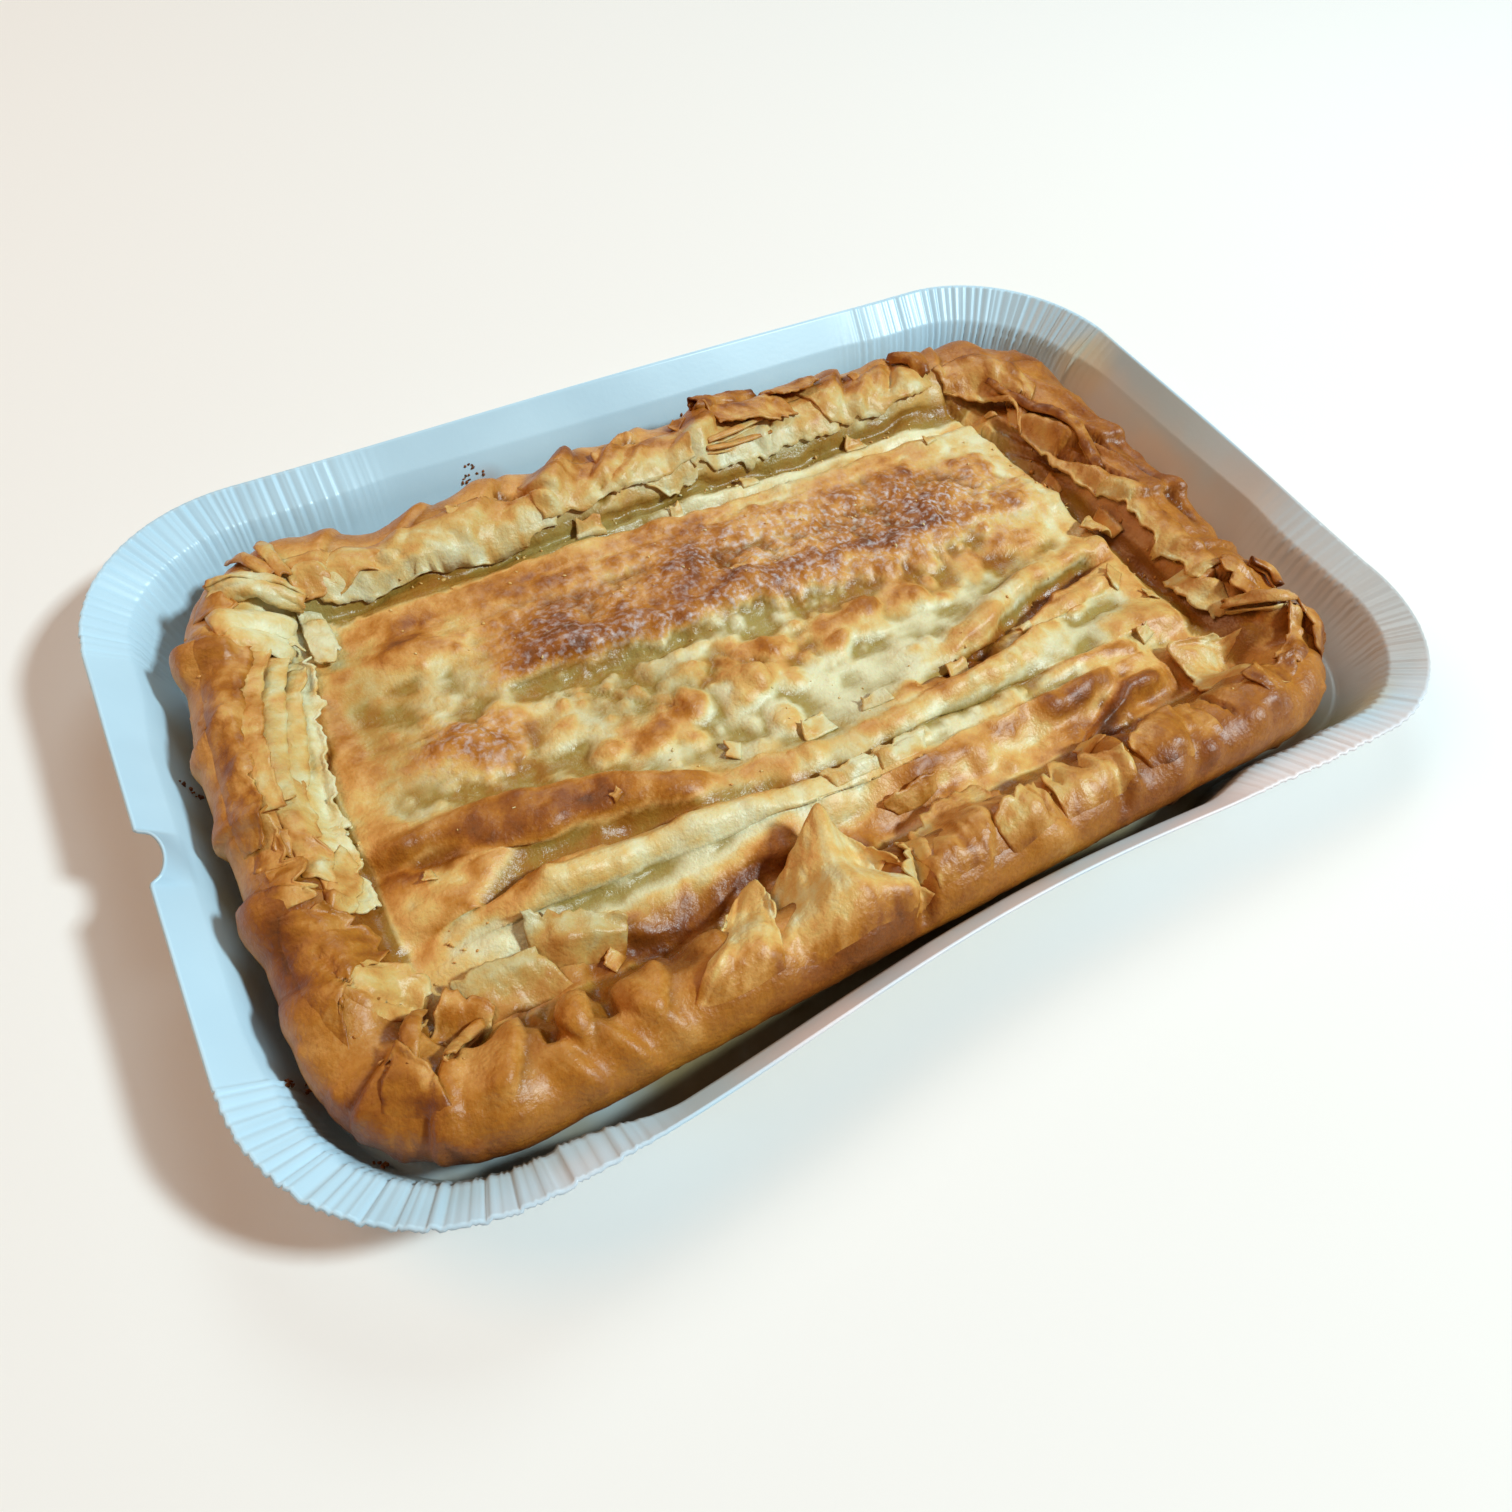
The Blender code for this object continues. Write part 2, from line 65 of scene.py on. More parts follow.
# How far the pleats run along each side from its first and its last corner
PLEAT_RUN = ((30.0, 62.0), (43.0, 15.0), (41.0, 44.0), (35.0, 16.0))
FLANGE_BLEND = 26.0
NOTCH_AT = -4.0
NOTCH_HALF_WIDTH = 7.5
NOTCH_DEPTH = 4.4

# Pie
PIE_BASE = BOARD + 0.3
PIE_LEFT, PIE_RIGHT = -155.8, 143.0
PIE_FRONT, PIE_BACK = -99.2, 91.5
PIE_CORNER_RADIUS = 37.0
RIGHT_SIDE_SLANT = 0.10
LEFT_SIDE_TAPER = 7.0
BACK_SWELLS = ((-86.0, 40.0, -5.5), (44.0, 80.0, 4.0))
RIM_SECTION = ((7.2, 0.0), (4.9, 4.0), (2.3, 9.5), (0.5, 14.5), (0.7, 18.6), (3.4, 22.4),
               (8.0, 24.6), (13.0, 24.7), (17.8, 22.8), (21.4, 19.2), (24.8, 16.4), (29.0, 15.6))
RIM_WIDTH = (1.00, 1.32, 0.98, 1.28)
RIM_RISE = (1.02, 1.02, 1.06, 0.98)
LID_HEIGHT = 17.0

# Fineness of the skin, the sheets and the tray's edge, and thickness of what is thin
SKIN_STEP = 0.93
SHEET_STEP = 0.8
TRAY_FINE_STEP = 0.62
SHEET_THICKNESS = 0.6
FLAKE_THICKNESS = 0.45
SHOWN_BOARD = 0.75
# Seeds of the random draws
FLAKE_SEED = 200
CRUMB_SEED = 17
PLEAT_SEED = 5
# A height over everything, from where rays look down
ABOVE_ALL = 80.0
DOWN = Vector((0.0, 0.0, -1.0))
# Numbers at each vertex of the dough: how well baked, how grainy, how oily. Painted shade is added to
# the last in the skin's hollows, and to the first along a few creases.
DOUGH_LAYERS = ("browning", "grain", "oil_and_shade")
# Half the width of the floor under everything
FLOOR_REACH = 4000.0


def smooth(low, high, value):
    """Rise from 0 at low to 1 at high with level ends."""
    t = np.clip((value - low) / (high - low), 0.0, 1.0)
    return t * t * (3.0 - 2.0 * t)


def bell(value, centre, half):
    """A rounded hump of height 1 that ends at half on either side of its centre."""
    t = np.clip(np.abs(value - centre) / half, 0.0, 1.0)
    return (1.0 - t * t) ** 2


def ripple(x, y, size, seed):
    """An uneven wavy field between about -1 and 1."""
    rng = np.random.default_rng(seed)
    total = np.zeros_like(x)
    for _ in range(7):
        turn = rng.uniform(0.0, math.pi)
        pitch = size * rng.uniform(0.7, 1.7)
        phase = rng.uniform(0.0, 2.0 * math.pi)
        along = x * math.cos(turn) + y * math.sin(turn)
        total += np.sin(2.0 * math.pi * along / pitch + phase)
    return total / 4.0


def cloud(u, v, size, seed):
    """Smooth random lumps of one size, between about -1 and 1."""
    rng = np.random.default_rng(seed)
    turns = rng.uniform(0.0, 2.0 * math.pi, (128, 128))
    a = u / size + 32.0
    b = v / size + 32.0
    i = np.floor(a).astype(int)
    j = np.floor(b).astype(int)
    f = a - i
    g = b - j

    def slope(di, dj):
        turn = turns[(i + di) % 128, (j + dj) % 128]
        return np.cos(turn) * (f - di) + np.sin(turn) * (g - dj)

    s = f * f * f * (f * (f * 6.0 - 15.0) + 10.0)
    t = g * g * g * (g * (g * 6.0 - 15.0) + 10.0)
    near = slope(0, 0) * (1.0 - s) + slope(1, 0) * s
    far = slope(0, 1) * (1.0 - s) + slope(1, 1) * s
    return 1.5 * (near * (1.0 - t) + far * t)


def clouds(u, v, size, layers, seed):
    """Lumps on lumps: each layer half the size and height of the one before."""
    total = np.zeros_like(u)
    for layer in range(layers):
        total += cloud(u, v, size / 2 ** layer, seed + layer) / 2 ** layer
    return total


# Long folds of the lid: x and y of both ends, half width, height, how steep the front is
LID_FOLDS = (
    (-134, -17, -44, -44, 13, 3.6, 0.55), (-134, -45, 16, -53, 13, 4.8, 0.45),
    (-6, -49, 112, -50, 15, 4.6, 0.45), (4, -39, 104, -27, 9, 3, 0.40),
    (30, -30, 110, -14, 9, 2.2, 0.60), (-108, -63, -30, -66, 9, 2.2, 0.50),
    (-84, 24, 112, 4, 19, 2.8, 0.80), (-40, 40, 110, 36, 10, 1.4, 0.80),
)
# Blisters of the lid: x, y, half width along x, half width along y, height
BLISTERS = (
    (-97, 33, 15, 10, 2.6), (-97, -6, 19, 12, 3.4), (-19, 25, 15, 11, 2), (-55, -24, 14, 9, 2.2),
    (-38, -12, 15, 10, 1.8), (14, -10, 18, 10, 2.2), (-22, -19, 14, 9, 2), (60, 26, 24, 12, 1.6),
    (92, 12, 18, 14, 1.8),
)


def lid_height(x, y):
    """Height of the sunken lid over the tray floor."""
    height = LID_HEIGHT + 0.8 * ripple(x, y, 46.0, 3) + 0.35 * ripple(x, y, 15.0, 5)
    back_edge = 58.5 - 0.026 * (x + 60.0)
    height -= 2.6 * smooth(back_edge - 3.0, back_edge, y)
    height -= 2.4 * smooth(-60.0, -70.0, y)
    for x0, y0, x1, y1, half, rise, steep in LID_FOLDS:
        along = np.clip((x - x0) / (x1 - x0), 0.0, 1.0)
        middle = y0 + (y1 - y0) * along
        off = y - middle
        width = np.where(off < 0.0, half * steep, half)
        fade = smooth(0.0, 0.14, along) * smooth(1.0, 0.84, along)
        height += rise * fade * bell(off / width, 0.0, 1.0)
    for cx, cy, half_x, half_y, rise in BLISTERS:
        far = np.hypot((x - cx) / half_x, (y - cy) / half_y)
        height += rise * bell(far, 0.0, 1.0)
    return height


# Overlapping folds across the rim: place along the side, half width, height, slant
BACK_FOLDS = ((-112, 16, 1.6, 0.5), (-84, 18, -2.6, 0.4), (-58, 15, 1, 0.8),
              (-38, 9, -1.8, 0.9), (-22, 13, 2.4, 0.9), (-2, 9, 2.2, 0.9),
              (22, 12, 2.6, 0.6), (44, 9, -1.2, 0.5), (66, 15, 2, 0.4),
              (98, 14, 1.8, 0.3), (124, 12, 3.2, 0))
FRONT_FOLDS = ((-124, 14, 1.4, 0.2), (-105, 6, 2.2, -0.5), (-94, 5, 2.4, -0.6),
               (-84, 5, 1.2, -0.5), (-62, 16, 1.4, -0.5), (-40, 15, 3, 0.1),
               (-25, 5, -3.6, 0.3), (-8, 12, 1.2, -0.6), (16, 12, 2.2, -0.5),
               (36, 5, -1.8, 0.3), (54, 12, 1.8, 0.2), (90, 26, 2.6, 0))
LEFT_FOLDS = ((52, 13, 2.2, 0.2), (24, 18, 0.8, 0.2), (2, 7, 1.6, 0.6),
              (-12, 8, -1.8, -0.4), (-34, 13, 1.8, 0.5), (-58, 15, 2, 0.3))
RIGHT_FOLDS = ((66, 14, 1.6, 0.4), (40, 18, 1.2, 0.5), (10, 14, -1.6, 0.4),
               (-14, 12, 1.4, 0.5), (-36, 10, -2.2, 0.2), (-52, 9, 2.2, 0.2),
               (-74, 13, 1.4, -0.3))


def folds_across(place, across, folds):
    """Relief of the folds that lie across one side of the rim."""
    relief = np.zeros_like(place)
    for middle, half, rise, slant in folds:
        off = place - middle - slant * across
        width = np.where(off > 0.0, 0.6 * half, half)
        relief += rise * bell(off / width, 0.0, 1.0)
    return relief


def rounded(points, steps):
    """A smooth curve through the given points, and the path length to each of its points."""
    points = np.array(points, float)
    ends = np.vstack([2 * points[0] - points[1], points, 2 * points[-1] - points[-2]])
    curve = []
    for i in range(len(points) - 1):
        a, b, c, d = ends[i:i + 4]
        for t in np.linspace(0.0, 1.0, steps, endpoint=False):
            curve.append(0.5 * (2 * b + (c - a) * t + (2 * a - 5 * b + 4 * c - d) * t * t
                                + (3 * b - a - 3 * c + d) * t ** 3))
    curve = np.array(curve + [points[-1]])
    lengths = np.linalg.norm(np.diff(curve, axis=0), axis=1)
    return curve, np.concatenate([[0.0], np.cumsum(lengths)])


RIM_CURVE, PATH = rounded(RIM_SECTION, 12)
INSET, RISE = RIM_CURVE.T
PATH_END = PATH[-1]
PLAIN_SLOPE = INSET[-1] / PATH_END


def section_at(path):
    """True and even inset, height, and outward and upward normal at a path length."""
    beyond = np.maximum(path - PATH_END, 0.0)
    inset = np.interp(path, PATH, INSET) + beyond
    even = np.minimum(path, PATH_END) * PLAIN_SLOPE + beyond
    rise = np.interp(path, PATH, RISE)
    step = 1.2
    run = np.interp(path + step, PATH, INSET) - np.interp(path - step, PATH, INSET)
    climb = np.interp(path + step, PATH, RISE) - np.interp(path - step, PATH, RISE)
    run = np.where(path > PATH_END - step, 2.0 * step, run)
    climb = np.where(path > PATH_END - step, 0.0, climb)
    length = np.hypot(run, climb)
    return inset, even, rise, climb / length, run / length


def round_corner(x, y, half_x, half_y, radius):
    """Bend a rectangle's corner squares into quarter discs; also give the way outward."""
    s = np.clip((np.abs(x) - half_x + radius) / radius, 0.0, 1.0)
    t = np.clip((np.abs(y) - half_y + radius) / radius, 0.0, 1.0)
    ring = np.maximum(s, t)
    turn = math.pi / 4.0 * np.minimum(s, t) / np.maximum(ring, 1e-6)
    near_x = np.where(s >= t, np.cos(turn), np.sin(turn))
    near_y = np.where(s >= t, np.sin(turn), np.cos(turn))
    side_x = np.sign(x)
    side_y = np.sign(y)
    x = x - side_x * radius * (s - ring * near_x)
    y = y - side_y * radius * (t - ring * near_y)
    return x, y, side_x * near_x, side_y * near_y


def pie_surface(path_left, path_right, path_front, path_back):
    """Place points of the pie's skin; also give each point's way in from the base edge."""
    half_x = (PIE_RIGHT - PIE_LEFT) / 2.0
    half_y = (PIE_BACK - PIE_FRONT) / 2.0
    from_left = path_left < path_right
    from_front = path_front < path_back
    width_x = np.where(from_left, RIM_WIDTH[0], RIM_WIDTH[1])
    width_y = np.where(from_front, RIM_WIDTH[2], RIM_WIDTH[3])
    path_x = np.minimum(path_left, path_right) / width_x
    path_y = np.minimum(path_front, path_back) / width_y
    in_x, even_x, up_x, out_x, top_x = section_at(path_x)
    in_y, even_y, up_y, out_y, top_y = section_at(path_y)
    flat_x = np.where(from_left, -1.0, 1.0) * (half_x - even_x * width_x)
    flat_y = np.where(from_front, -1.0, 1.0) * (half_y - even_y * width_y)
    x, y, away_x, away_y = round_corner(flat_x, flat_y, half_x, half_y, PIE_CORNER_RADIUS)

    share_y = smooth(-5.0, 5.0, even_x * width_x - even_y * width_y)
    share_x = 1.0 - share_y
    nearest = share_x * path_x + share_y * path_y
    inward = share_x * (in_x - even_x) * width_x + share_y * (in_y - even_y) * width_y
    outward = share_x * out_x + share_y * out_y
    upward = share_x * top_x + share_y * top_y
    x = x - away_x * inward + (PIE_LEFT + PIE_RIGHT) / 2.0
    y = y - away_y * inward + (PIE_FRONT + PIE_BACK) / 2.0
    x = x + RIGHT_SIDE_SLANT * y * smooth(0.0, half_x, x)
    x = x + LEFT_SIDE_TAPER * smooth(10.0, 80.0, y) * smooth(0.0, -half_x, x)
    for place, half, reach in BACK_SWELLS:
        y = y + reach * bell(x, place, half) * smooth(0.0, half_y, y)

    rise_x = np.where(from_left, RIM_RISE[0], RIM_RISE[1])
    rise_y = np.where(from_front, RIM_RISE[2], RIM_RISE[3])
    rim = share_x * up_x * rise_x + share_y * up_y * rise_y
    onto_lid = smooth(PATH_END - 12.0, PATH_END - 1.0, nearest)
    z = PIE_BASE + rim * (1.0 - onto_lid) + (lid_height(x, y) - PIE_BASE) * onto_lid

    relief_y = np.where(from_front, folds_across(x, y - PIE_FRONT, FRONT_FOLDS),
                        folds_across(x, y - PIE_BACK, BACK_FOLDS))
    relief_x = np.where(from_left, folds_across(y, x - PIE_LEFT, LEFT_FOLDS),
                        folds_across(y, PIE_RIGHT - x, RIGHT_FOLDS))
    on_rim = smooth(9.0, 22.0, nearest) * smooth(PATH_END + 1.0, PATH_END - 9.0, nearest)
    relief = on_rim * (share_x * relief_x + share_y * relief_y)
    relief += 0.45 * ripple(x, y, 17.0, 11) * smooth(6.0, 16.0, nearest)
    sideways = 0.5 * outward * relief * smooth(16.0, 24.0, nearest)
    return (x + away_x * sideways, y + away_y * sideways, z + upward * relief, nearest,
            share_y)


def side_lengths(low, high, width_low, width_high):
    """Whole path across the pie between two opposite base edges."""
    flat = (high - low) - INSET[-1] * (width_low + width_high)
    return PATH_END * (width_low + width_high) + flat


ACROSS = side_lengths(PIE_LEFT, PIE_RIGHT, RIM_WIDTH[0], RIM_WIDTH[1])
ALONG = side_lengths(PIE_FRONT, PIE_BACK, RIM_WIDTH[2], RIM_WIDTH[3])


def line_relief(x, y, points, back_half, front_half, rise):
    """A ridge or a groove along a line; its two sides may differ in width."""
    best = np.full(x.shape, 1e9)
    side = np.ones(x.shape)
    fade = np.ones(x.shape)
    points = np.array(points)
    lengths = np.hypot(*np.diff(points, axis=0).T)
    total = lengths.sum()
    walked = 0.0
    for (ax, ay), (bx, by), length in zip(points[:-1], points[1:], lengths):
        dx = (bx - ax) / length
        dy = (by - ay) / length
        along = np.clip((x - ax) * dx + (y - ay) * dy, 0.0, length)
        off_x = x - ax - dx * along
        off_y = y - ay - dy * along
        far = np.hypot(off_x, off_y)
        closer = far < best
        best = np.where(closer, far, best)
        side = np.where(closer, dx * (y - ay) - dy * (x - ax), side)
        place = (walked + along) / total
        fade = np.where(closer, smooth(-0.02, 0.14, place) * smooth(1.02, 0.86, place), fade)
        walked += length
    half = np.where(side > 0.0, back_half, front_half)
    return rise * fade * bell(best / half, 0.0, 1.0)


# Creases and ridges: points along the line, half width on its left and right, rise
CREASES = (
    (((-132, -49), (-119, -48), (-109, -46), (-99, -42.5), (-89, -41.5), (-72, -43), (-55, -45.5),
      (-36, -48.5), (-8, -51), (30, -51), (70, -50), (97, -53)), 7.5, 2.4, -4.2),
    (((-132, -41), (-116, -37), (-100, -34), (-84, -35), (-64, -38), (-40, -42), (-14, -46)),
     13, 8, 2.8),
    (((-126, -58), (-112, -53), (-96, -49.5), (-80, -48.5), (-60, -50.5), (-36, -54), (0, -57),
      (40, -57), (74, -57)), 3.5, 9, 3.0),
    (((-128, -23), (-100, -22), (-84, -24), (-68, -30), (-56, -37)), 2.5, 6, 1.6),
    (((-90, -62), (-66, -63), (-44, -66)), 5, 5, -1.6),
    (((13, -38.5), (30, -38), (46, -35), (60, -31), (76, -26), (92, -22.5), (107, -21)),
     7.0, 1.7, -5.0),
    (((14, -43), (36, -42.5), (56, -39), (76, -33), (98, -28)), 3.0, 7, 3.2),
    (((16, -29), (42, -27), (62, -21), (84, -15)), 6, 6, 1.8),
    (((40, -63), (60, -58), (86, -56)), 5, 4, 1.6),
    (((44, -81), (50, -74), (60, -68.5), (70, -63.5), (86, -63)), 2.6, 6, 3.0),
    (((50, -79), (58, -75), (68, -73)), 6, 3, -3.4),
    (((-116, 60.0), (-90, 60.0), (-50, 60), (-20, 62), (20, 63.5), (60, 63.5), (104, 64)),
     1.8, 2.2, -2.6),
    (((-60, 57.2), (0, 56.4), (60, 54.4), (108, 54.0)), 1.3, 2.2, -1.6),
    (((-60, 60.0), (0, 59.5), (60, 58.6), (106, 58.4)), 3.0, 3.0, 1.2),
    (((-60, 52.5), (0, 51.6), (60, 49.5), (104, 49)), 4.0, 6.0, 1.3),
    (((-128, -24), (-100, -23.5), (-80, -27), (-60, -34)), 8, 3, 1.0),
    (((-72, 6), (-60, 2), (-52, -7), (-40, -17)), 1.5, 1.5, -0.9),
    (((-84, 17), (-62, 15), (-30, 12.5), (4, 11), (34, 8)), 9.0, 4.0, 2.0),
    (((-84, 9), (-52, 7), (-10, 5)), 3.0, 4.0, -1.2),
    (((-57, 80), (-50, 76), (-43, 71), (-40, 67)), 1.6, 1.6, -2.6),
    (((-30, 67), (-22, 72), (-15, 79), (-9, 86)), 2.0, 5.0, -3.0),
    (((-22, 67), (-13, 73), (-6, 81)), 3.0, 3.0, 2.0),
    (((-2, 70), (10, 76), (24, 82)), 3.0, 2.0, 1.6),
    (((58, 70), (66, 78), (72, 86)), 2.5, 4.5, -2.4),
    (((66, 68), (74, 76), (80, 84)), 2.5, 3.0, 1.8),
    (((78, 70), (86, 77), (90, 84)), 2.5, 4.5, -2.2),
    (((-108, -72), (-109, -80), (-110, -87)), 2.4, 2.4, -2.4),
    (((-96, -76), (-96.5, -82), (-98, -87)), 1.6, 2.8, -2.4),
    (((-101, -72), (-103, -80), (-107, -88)), 4.5, 4.0, 1.8),
    (((-91, -76), (-92, -83), (-94, -89)), 4.0, 4.0, 1.2),
    (((-126, -74), (-128, -80)), 2.0, 2.5, -2.0),
    (((-85, -79), (-60, -88), (-52, -92)), 5.0, 5.0, -1.2),
    (((-90, -70), (-68, -73), (-50, -74)), 5.0, 6.0, -3.6),
    (((118, 60), (128, 30), (133, 0), (131, -30)), 2.0, 3.5, -2.4),
    (((126, 70), (135, 40), (139, 12), (135, -24)), 3.0, 3.0, 1.8),
    (((113, -45), (120, -52), (124, -62)), 1.5, 1.5, -2.6),
    (((104, 70), (112, 40), (122, 8), (126, -10)), 1.5, 2.2, -2.8),
    (((110, 66), (122, 34), (131, 6), (132, -18)), 3.5, 3.5, 2.2),
    (((107, 58), (110, 40), (111, 20), (110, 0), (110, -20), (109, -44)), 3.0, 4.0, -3.4),
    (((116, -64), (126, -74), (128, -84)), 3.0, 3.0, 2.2),
    (((120, -74), (128, -82), (132, -88)), 1.6, 1.6, -2.0),
    (((-129, 44), (-135, 32), (-138.5, 18), (-140, 2), (-139.5, -8)), 6.0, 5.5, -2.4),
    (((-124, 44), (-126, 28), (-129.5, 8), (-132, -10)), 1.6, 1.6, -1.6),
    (((-145, -44), (-143, -51), (-138, -59), (-131, -62)), 0.9, 0.9, -2.4),
    (((18.5, -80), (17, -86), (15, -92)), 1.1, 1.1, -3.0),
    (((79, -80), (78, -85), (79, -91)), 1.0, 1.0, -2.2),
    (((-87, -35), (-79, -34), (-71, -35)), 0.9, 0.9, -1.0),
    (((12, 20), (22, 26), (36, 36)), 0.9, 0.9, 0.5),
)

# Sharp-edged folds that lie across the rim, written as the creases are
RIM_PLEATS = (
    (((-112, 66), (-107, 76), (-100, 88)), 10, 2.0, 1.8),
    (((-93, 64), (-84, 75), (-74, 87)), 12, 2.2, 2.2),
    (((-71, 64), (-62, 75), (-52, 85)), 11, 2.0, 2.2),
    (((-45, 66), (-36, 76), (-27, 87)), 8, 1.8, 2.6),
    (((-25, 66), (-16, 76), (-7, 87)), 7, 2.0, 2.6),
    (((8, 68), (14, 78), (20, 88)), 8, 1.6, 2.2),
    (((31, 68), (38, 78), (44, 88)), 8, 1.6, 2.0),
    (((60, 68), (66, 78), (72, 88)), 9, 1.8, 2.6),
    (((80, 68), (86, 78), (92, 88)), 8, 1.6, 2.2),
    (((104, 70), (108, 78), (113, 87)), 7, 1.6, 2.4),
    (((-112, -68), (-116, -80), (-123, -93)), 2.2, 9, 2.4),
    (((-96, -66), (-100, -78), (-106, -92)), 2.0, 8, 1.8),
    (((-80, -69), (-84, -81), (-90, -93)), 2.2, 9, 1.8),
    (((-66, -70), (-70, -82), (-77, -94)), 3.0, 9, 1.8),
    (((-20, -78), (-24, -88), (-29, -96)), 2.0, 8, 1.6),
    (((2, -76), (-2, -86), (-7, -96)), 2.0, 8, 1.8),
    (((48, -74), (45, -85), (40, -95)), 2.0, 8, 2.0),
    (((68, -74), (64, -84), (58, -94)), 2.2, 9, 1.6),
    (((97, -70), (95, -83), (92, -95)), 2.2, 9, 1.8),
    (((-155, 57), (-147, 52), (-136, 48)), 2.2, 11, 2.4),
    (((-157, 20), (-149, 24), (-142, 27)), 2.0, 9, 1.6),
    (((-158, -3), (-150, -6), (-143, -11)), 8, 1.8, 2.2),
    (((-157, -24), (-149, -28), (-136, -34)), 1.4, 14, 3.2),
    (((-156, -50), (-147, -54), (-137, -60)), 3.0, 9, 1.6),
    (((-150, -82), (-141, -75), (-131, -69)), 2.5, 9, 2.2),
    (((-138, -95), (-133, -84), (-127, -75)), 2.2, 9, 2.2),
    (((119, 67), (130, 63), (143, 59)), 2.2, 9, 2.0),
    (((117, 25), (128, 21), (141, 17)), 8, 2.0, 2.0),
    (((117, -7), (128, -11), (139, -15)), 7, 1.8, 2.2),
    (((115, -33), (126, -37), (138, -41)), 7, 1.8, 2.4),
    (((115, -66), (127, -68), (139, -72)), 2.2, 9, 2.2),
)

# Swellings and dents of the lid: x, y, half width along x and along y, rise
SWELLINGS = (
    (-96, -3, 17, 13, 2.8), (-97, 37, 15, 9, 2.0), (-16, 33, 14, 9, 2.4), (-39, -3, 11, 9, 2.0),
    (-22, -16, 9, 8, 1.8), (-10, -7, 8, 7, 1.8), (-53, -18, 14, 8, 2.4), (9, -6, 11, 8, 1.6),
    (30, -5, 15, 8, 2.0), (52, 8, 19, 9, 2.2), (82, -2, 17, 9, 2.2), (70, 24, 22, 9, 1.8),
    (94, 30, 16, 12, 1.6), (-72, 14, 13, 8, -1.6), (-76, -15, 11, 7, -1.4), (-34, -80, 8, 9, -2.0),
    (-30, 7, 11, 5, -1.6), (20, -18, 13, 5, -1.4), (-118, 22, 9, 18, -1.2),
    (66, 2, 14, 5, -1.2), (-50, 42, 24, 8, 1.2), (34, 47, 26, 7, 1.4), (84, 46, 18, 8, 1.4),
)

# Browned places, two of them painted shade in the hollow behind the front rim, then pale places: x, y,
# half width along x and along y, turn in degrees, strength
BROWNED_AND_SHADED = (
    (-96, 41, 11, 7, -4, 0.40), (-93, -3, 13, 12, 0, 0.40), (-66, 28, 14, 12, 0, 0.12),
    (-50, 34, 8, 5, 0, 0.16), (-14, 32, 12, 8, 0, 0.16), (62, 40, 16, 8, -8, 0.14),
    (70, 20, 22, 12, -10, 0.14), (46, 2, 36, 10, -8, 0.24), (30, -8, 24, 6, -6, 0.28),
    (-52, -19, 13, 6, 6, 0.44), (-24, -6, 9, 7, 0, 0.36), (-8, -12, 12, 5, 0, 0.28),
    (76, -8, 20, 7, -6, 0.22), (-74, -36, 14, 4, -12, 0.16), (-100, -46, 24, 3, 0, 0.16),
    # Painted shade in the hollow behind the front rim: (-83, -69) here and (-54, -68) two lines down
    (60, -72, 22, 6, 16, 0.30), (-60, -66, 26, 6, 0, 0.16), (-83, -69, 14, 4, 0, 0.34),
    (5, -67, 10, 3, 0, 0.30),
    (54, -64, 9, 5, 30, 0.30), (-54, -68, 26, 5, 0, 0.24), (-24, -74, 10, 8, 0, 0.30),
    (-147, -42, 10, 13, 0, 0.46), (-42, -96, 22, 7, 0, 0.20), (70, -92, 40, 8, 0, 0.14),
)
PALE = (
    (20, 60, 100, 4, 0, 0.20), (-60, -58, 34, 5, 0, 0.20), (0, -29, 42, 6, 0, 0.30),
    (55, -18, 24, 5, 10, 0.26), (-14, 3, 26, 4, -4, 0.22), (50, -45, 44, 4, 4, 0.26),
    (92, 46, 18, 9, 0, 0.34), (35, 50, 22, 6, 0, 0.26), (104, 15, 7, 26, 0, 0.24),
    (-78, 66, 30, 5, 0, 0.44), (-20, 69, 26, 4, 0, 0.26), (40, 69, 60, 4, 0, 0.36),
    (-118, 66, 12, 9, 0, 0.36), (-115, 22, 10, 16, 0, -0.16), (-126, 52, 8, 12, 0, 0.36),
    (-110, -56, 22, 5, 0, 0.22),
    (-70, -10, 12, 8, 0, 0.14), (0, -20, 40, 7, 0, 0.14), (90, 14, 12, 10, 0, 0.14),
    (48, -15, 18, 7, 0, 0.26), (-62, -28, 9, 4, 0, 0.16),
)
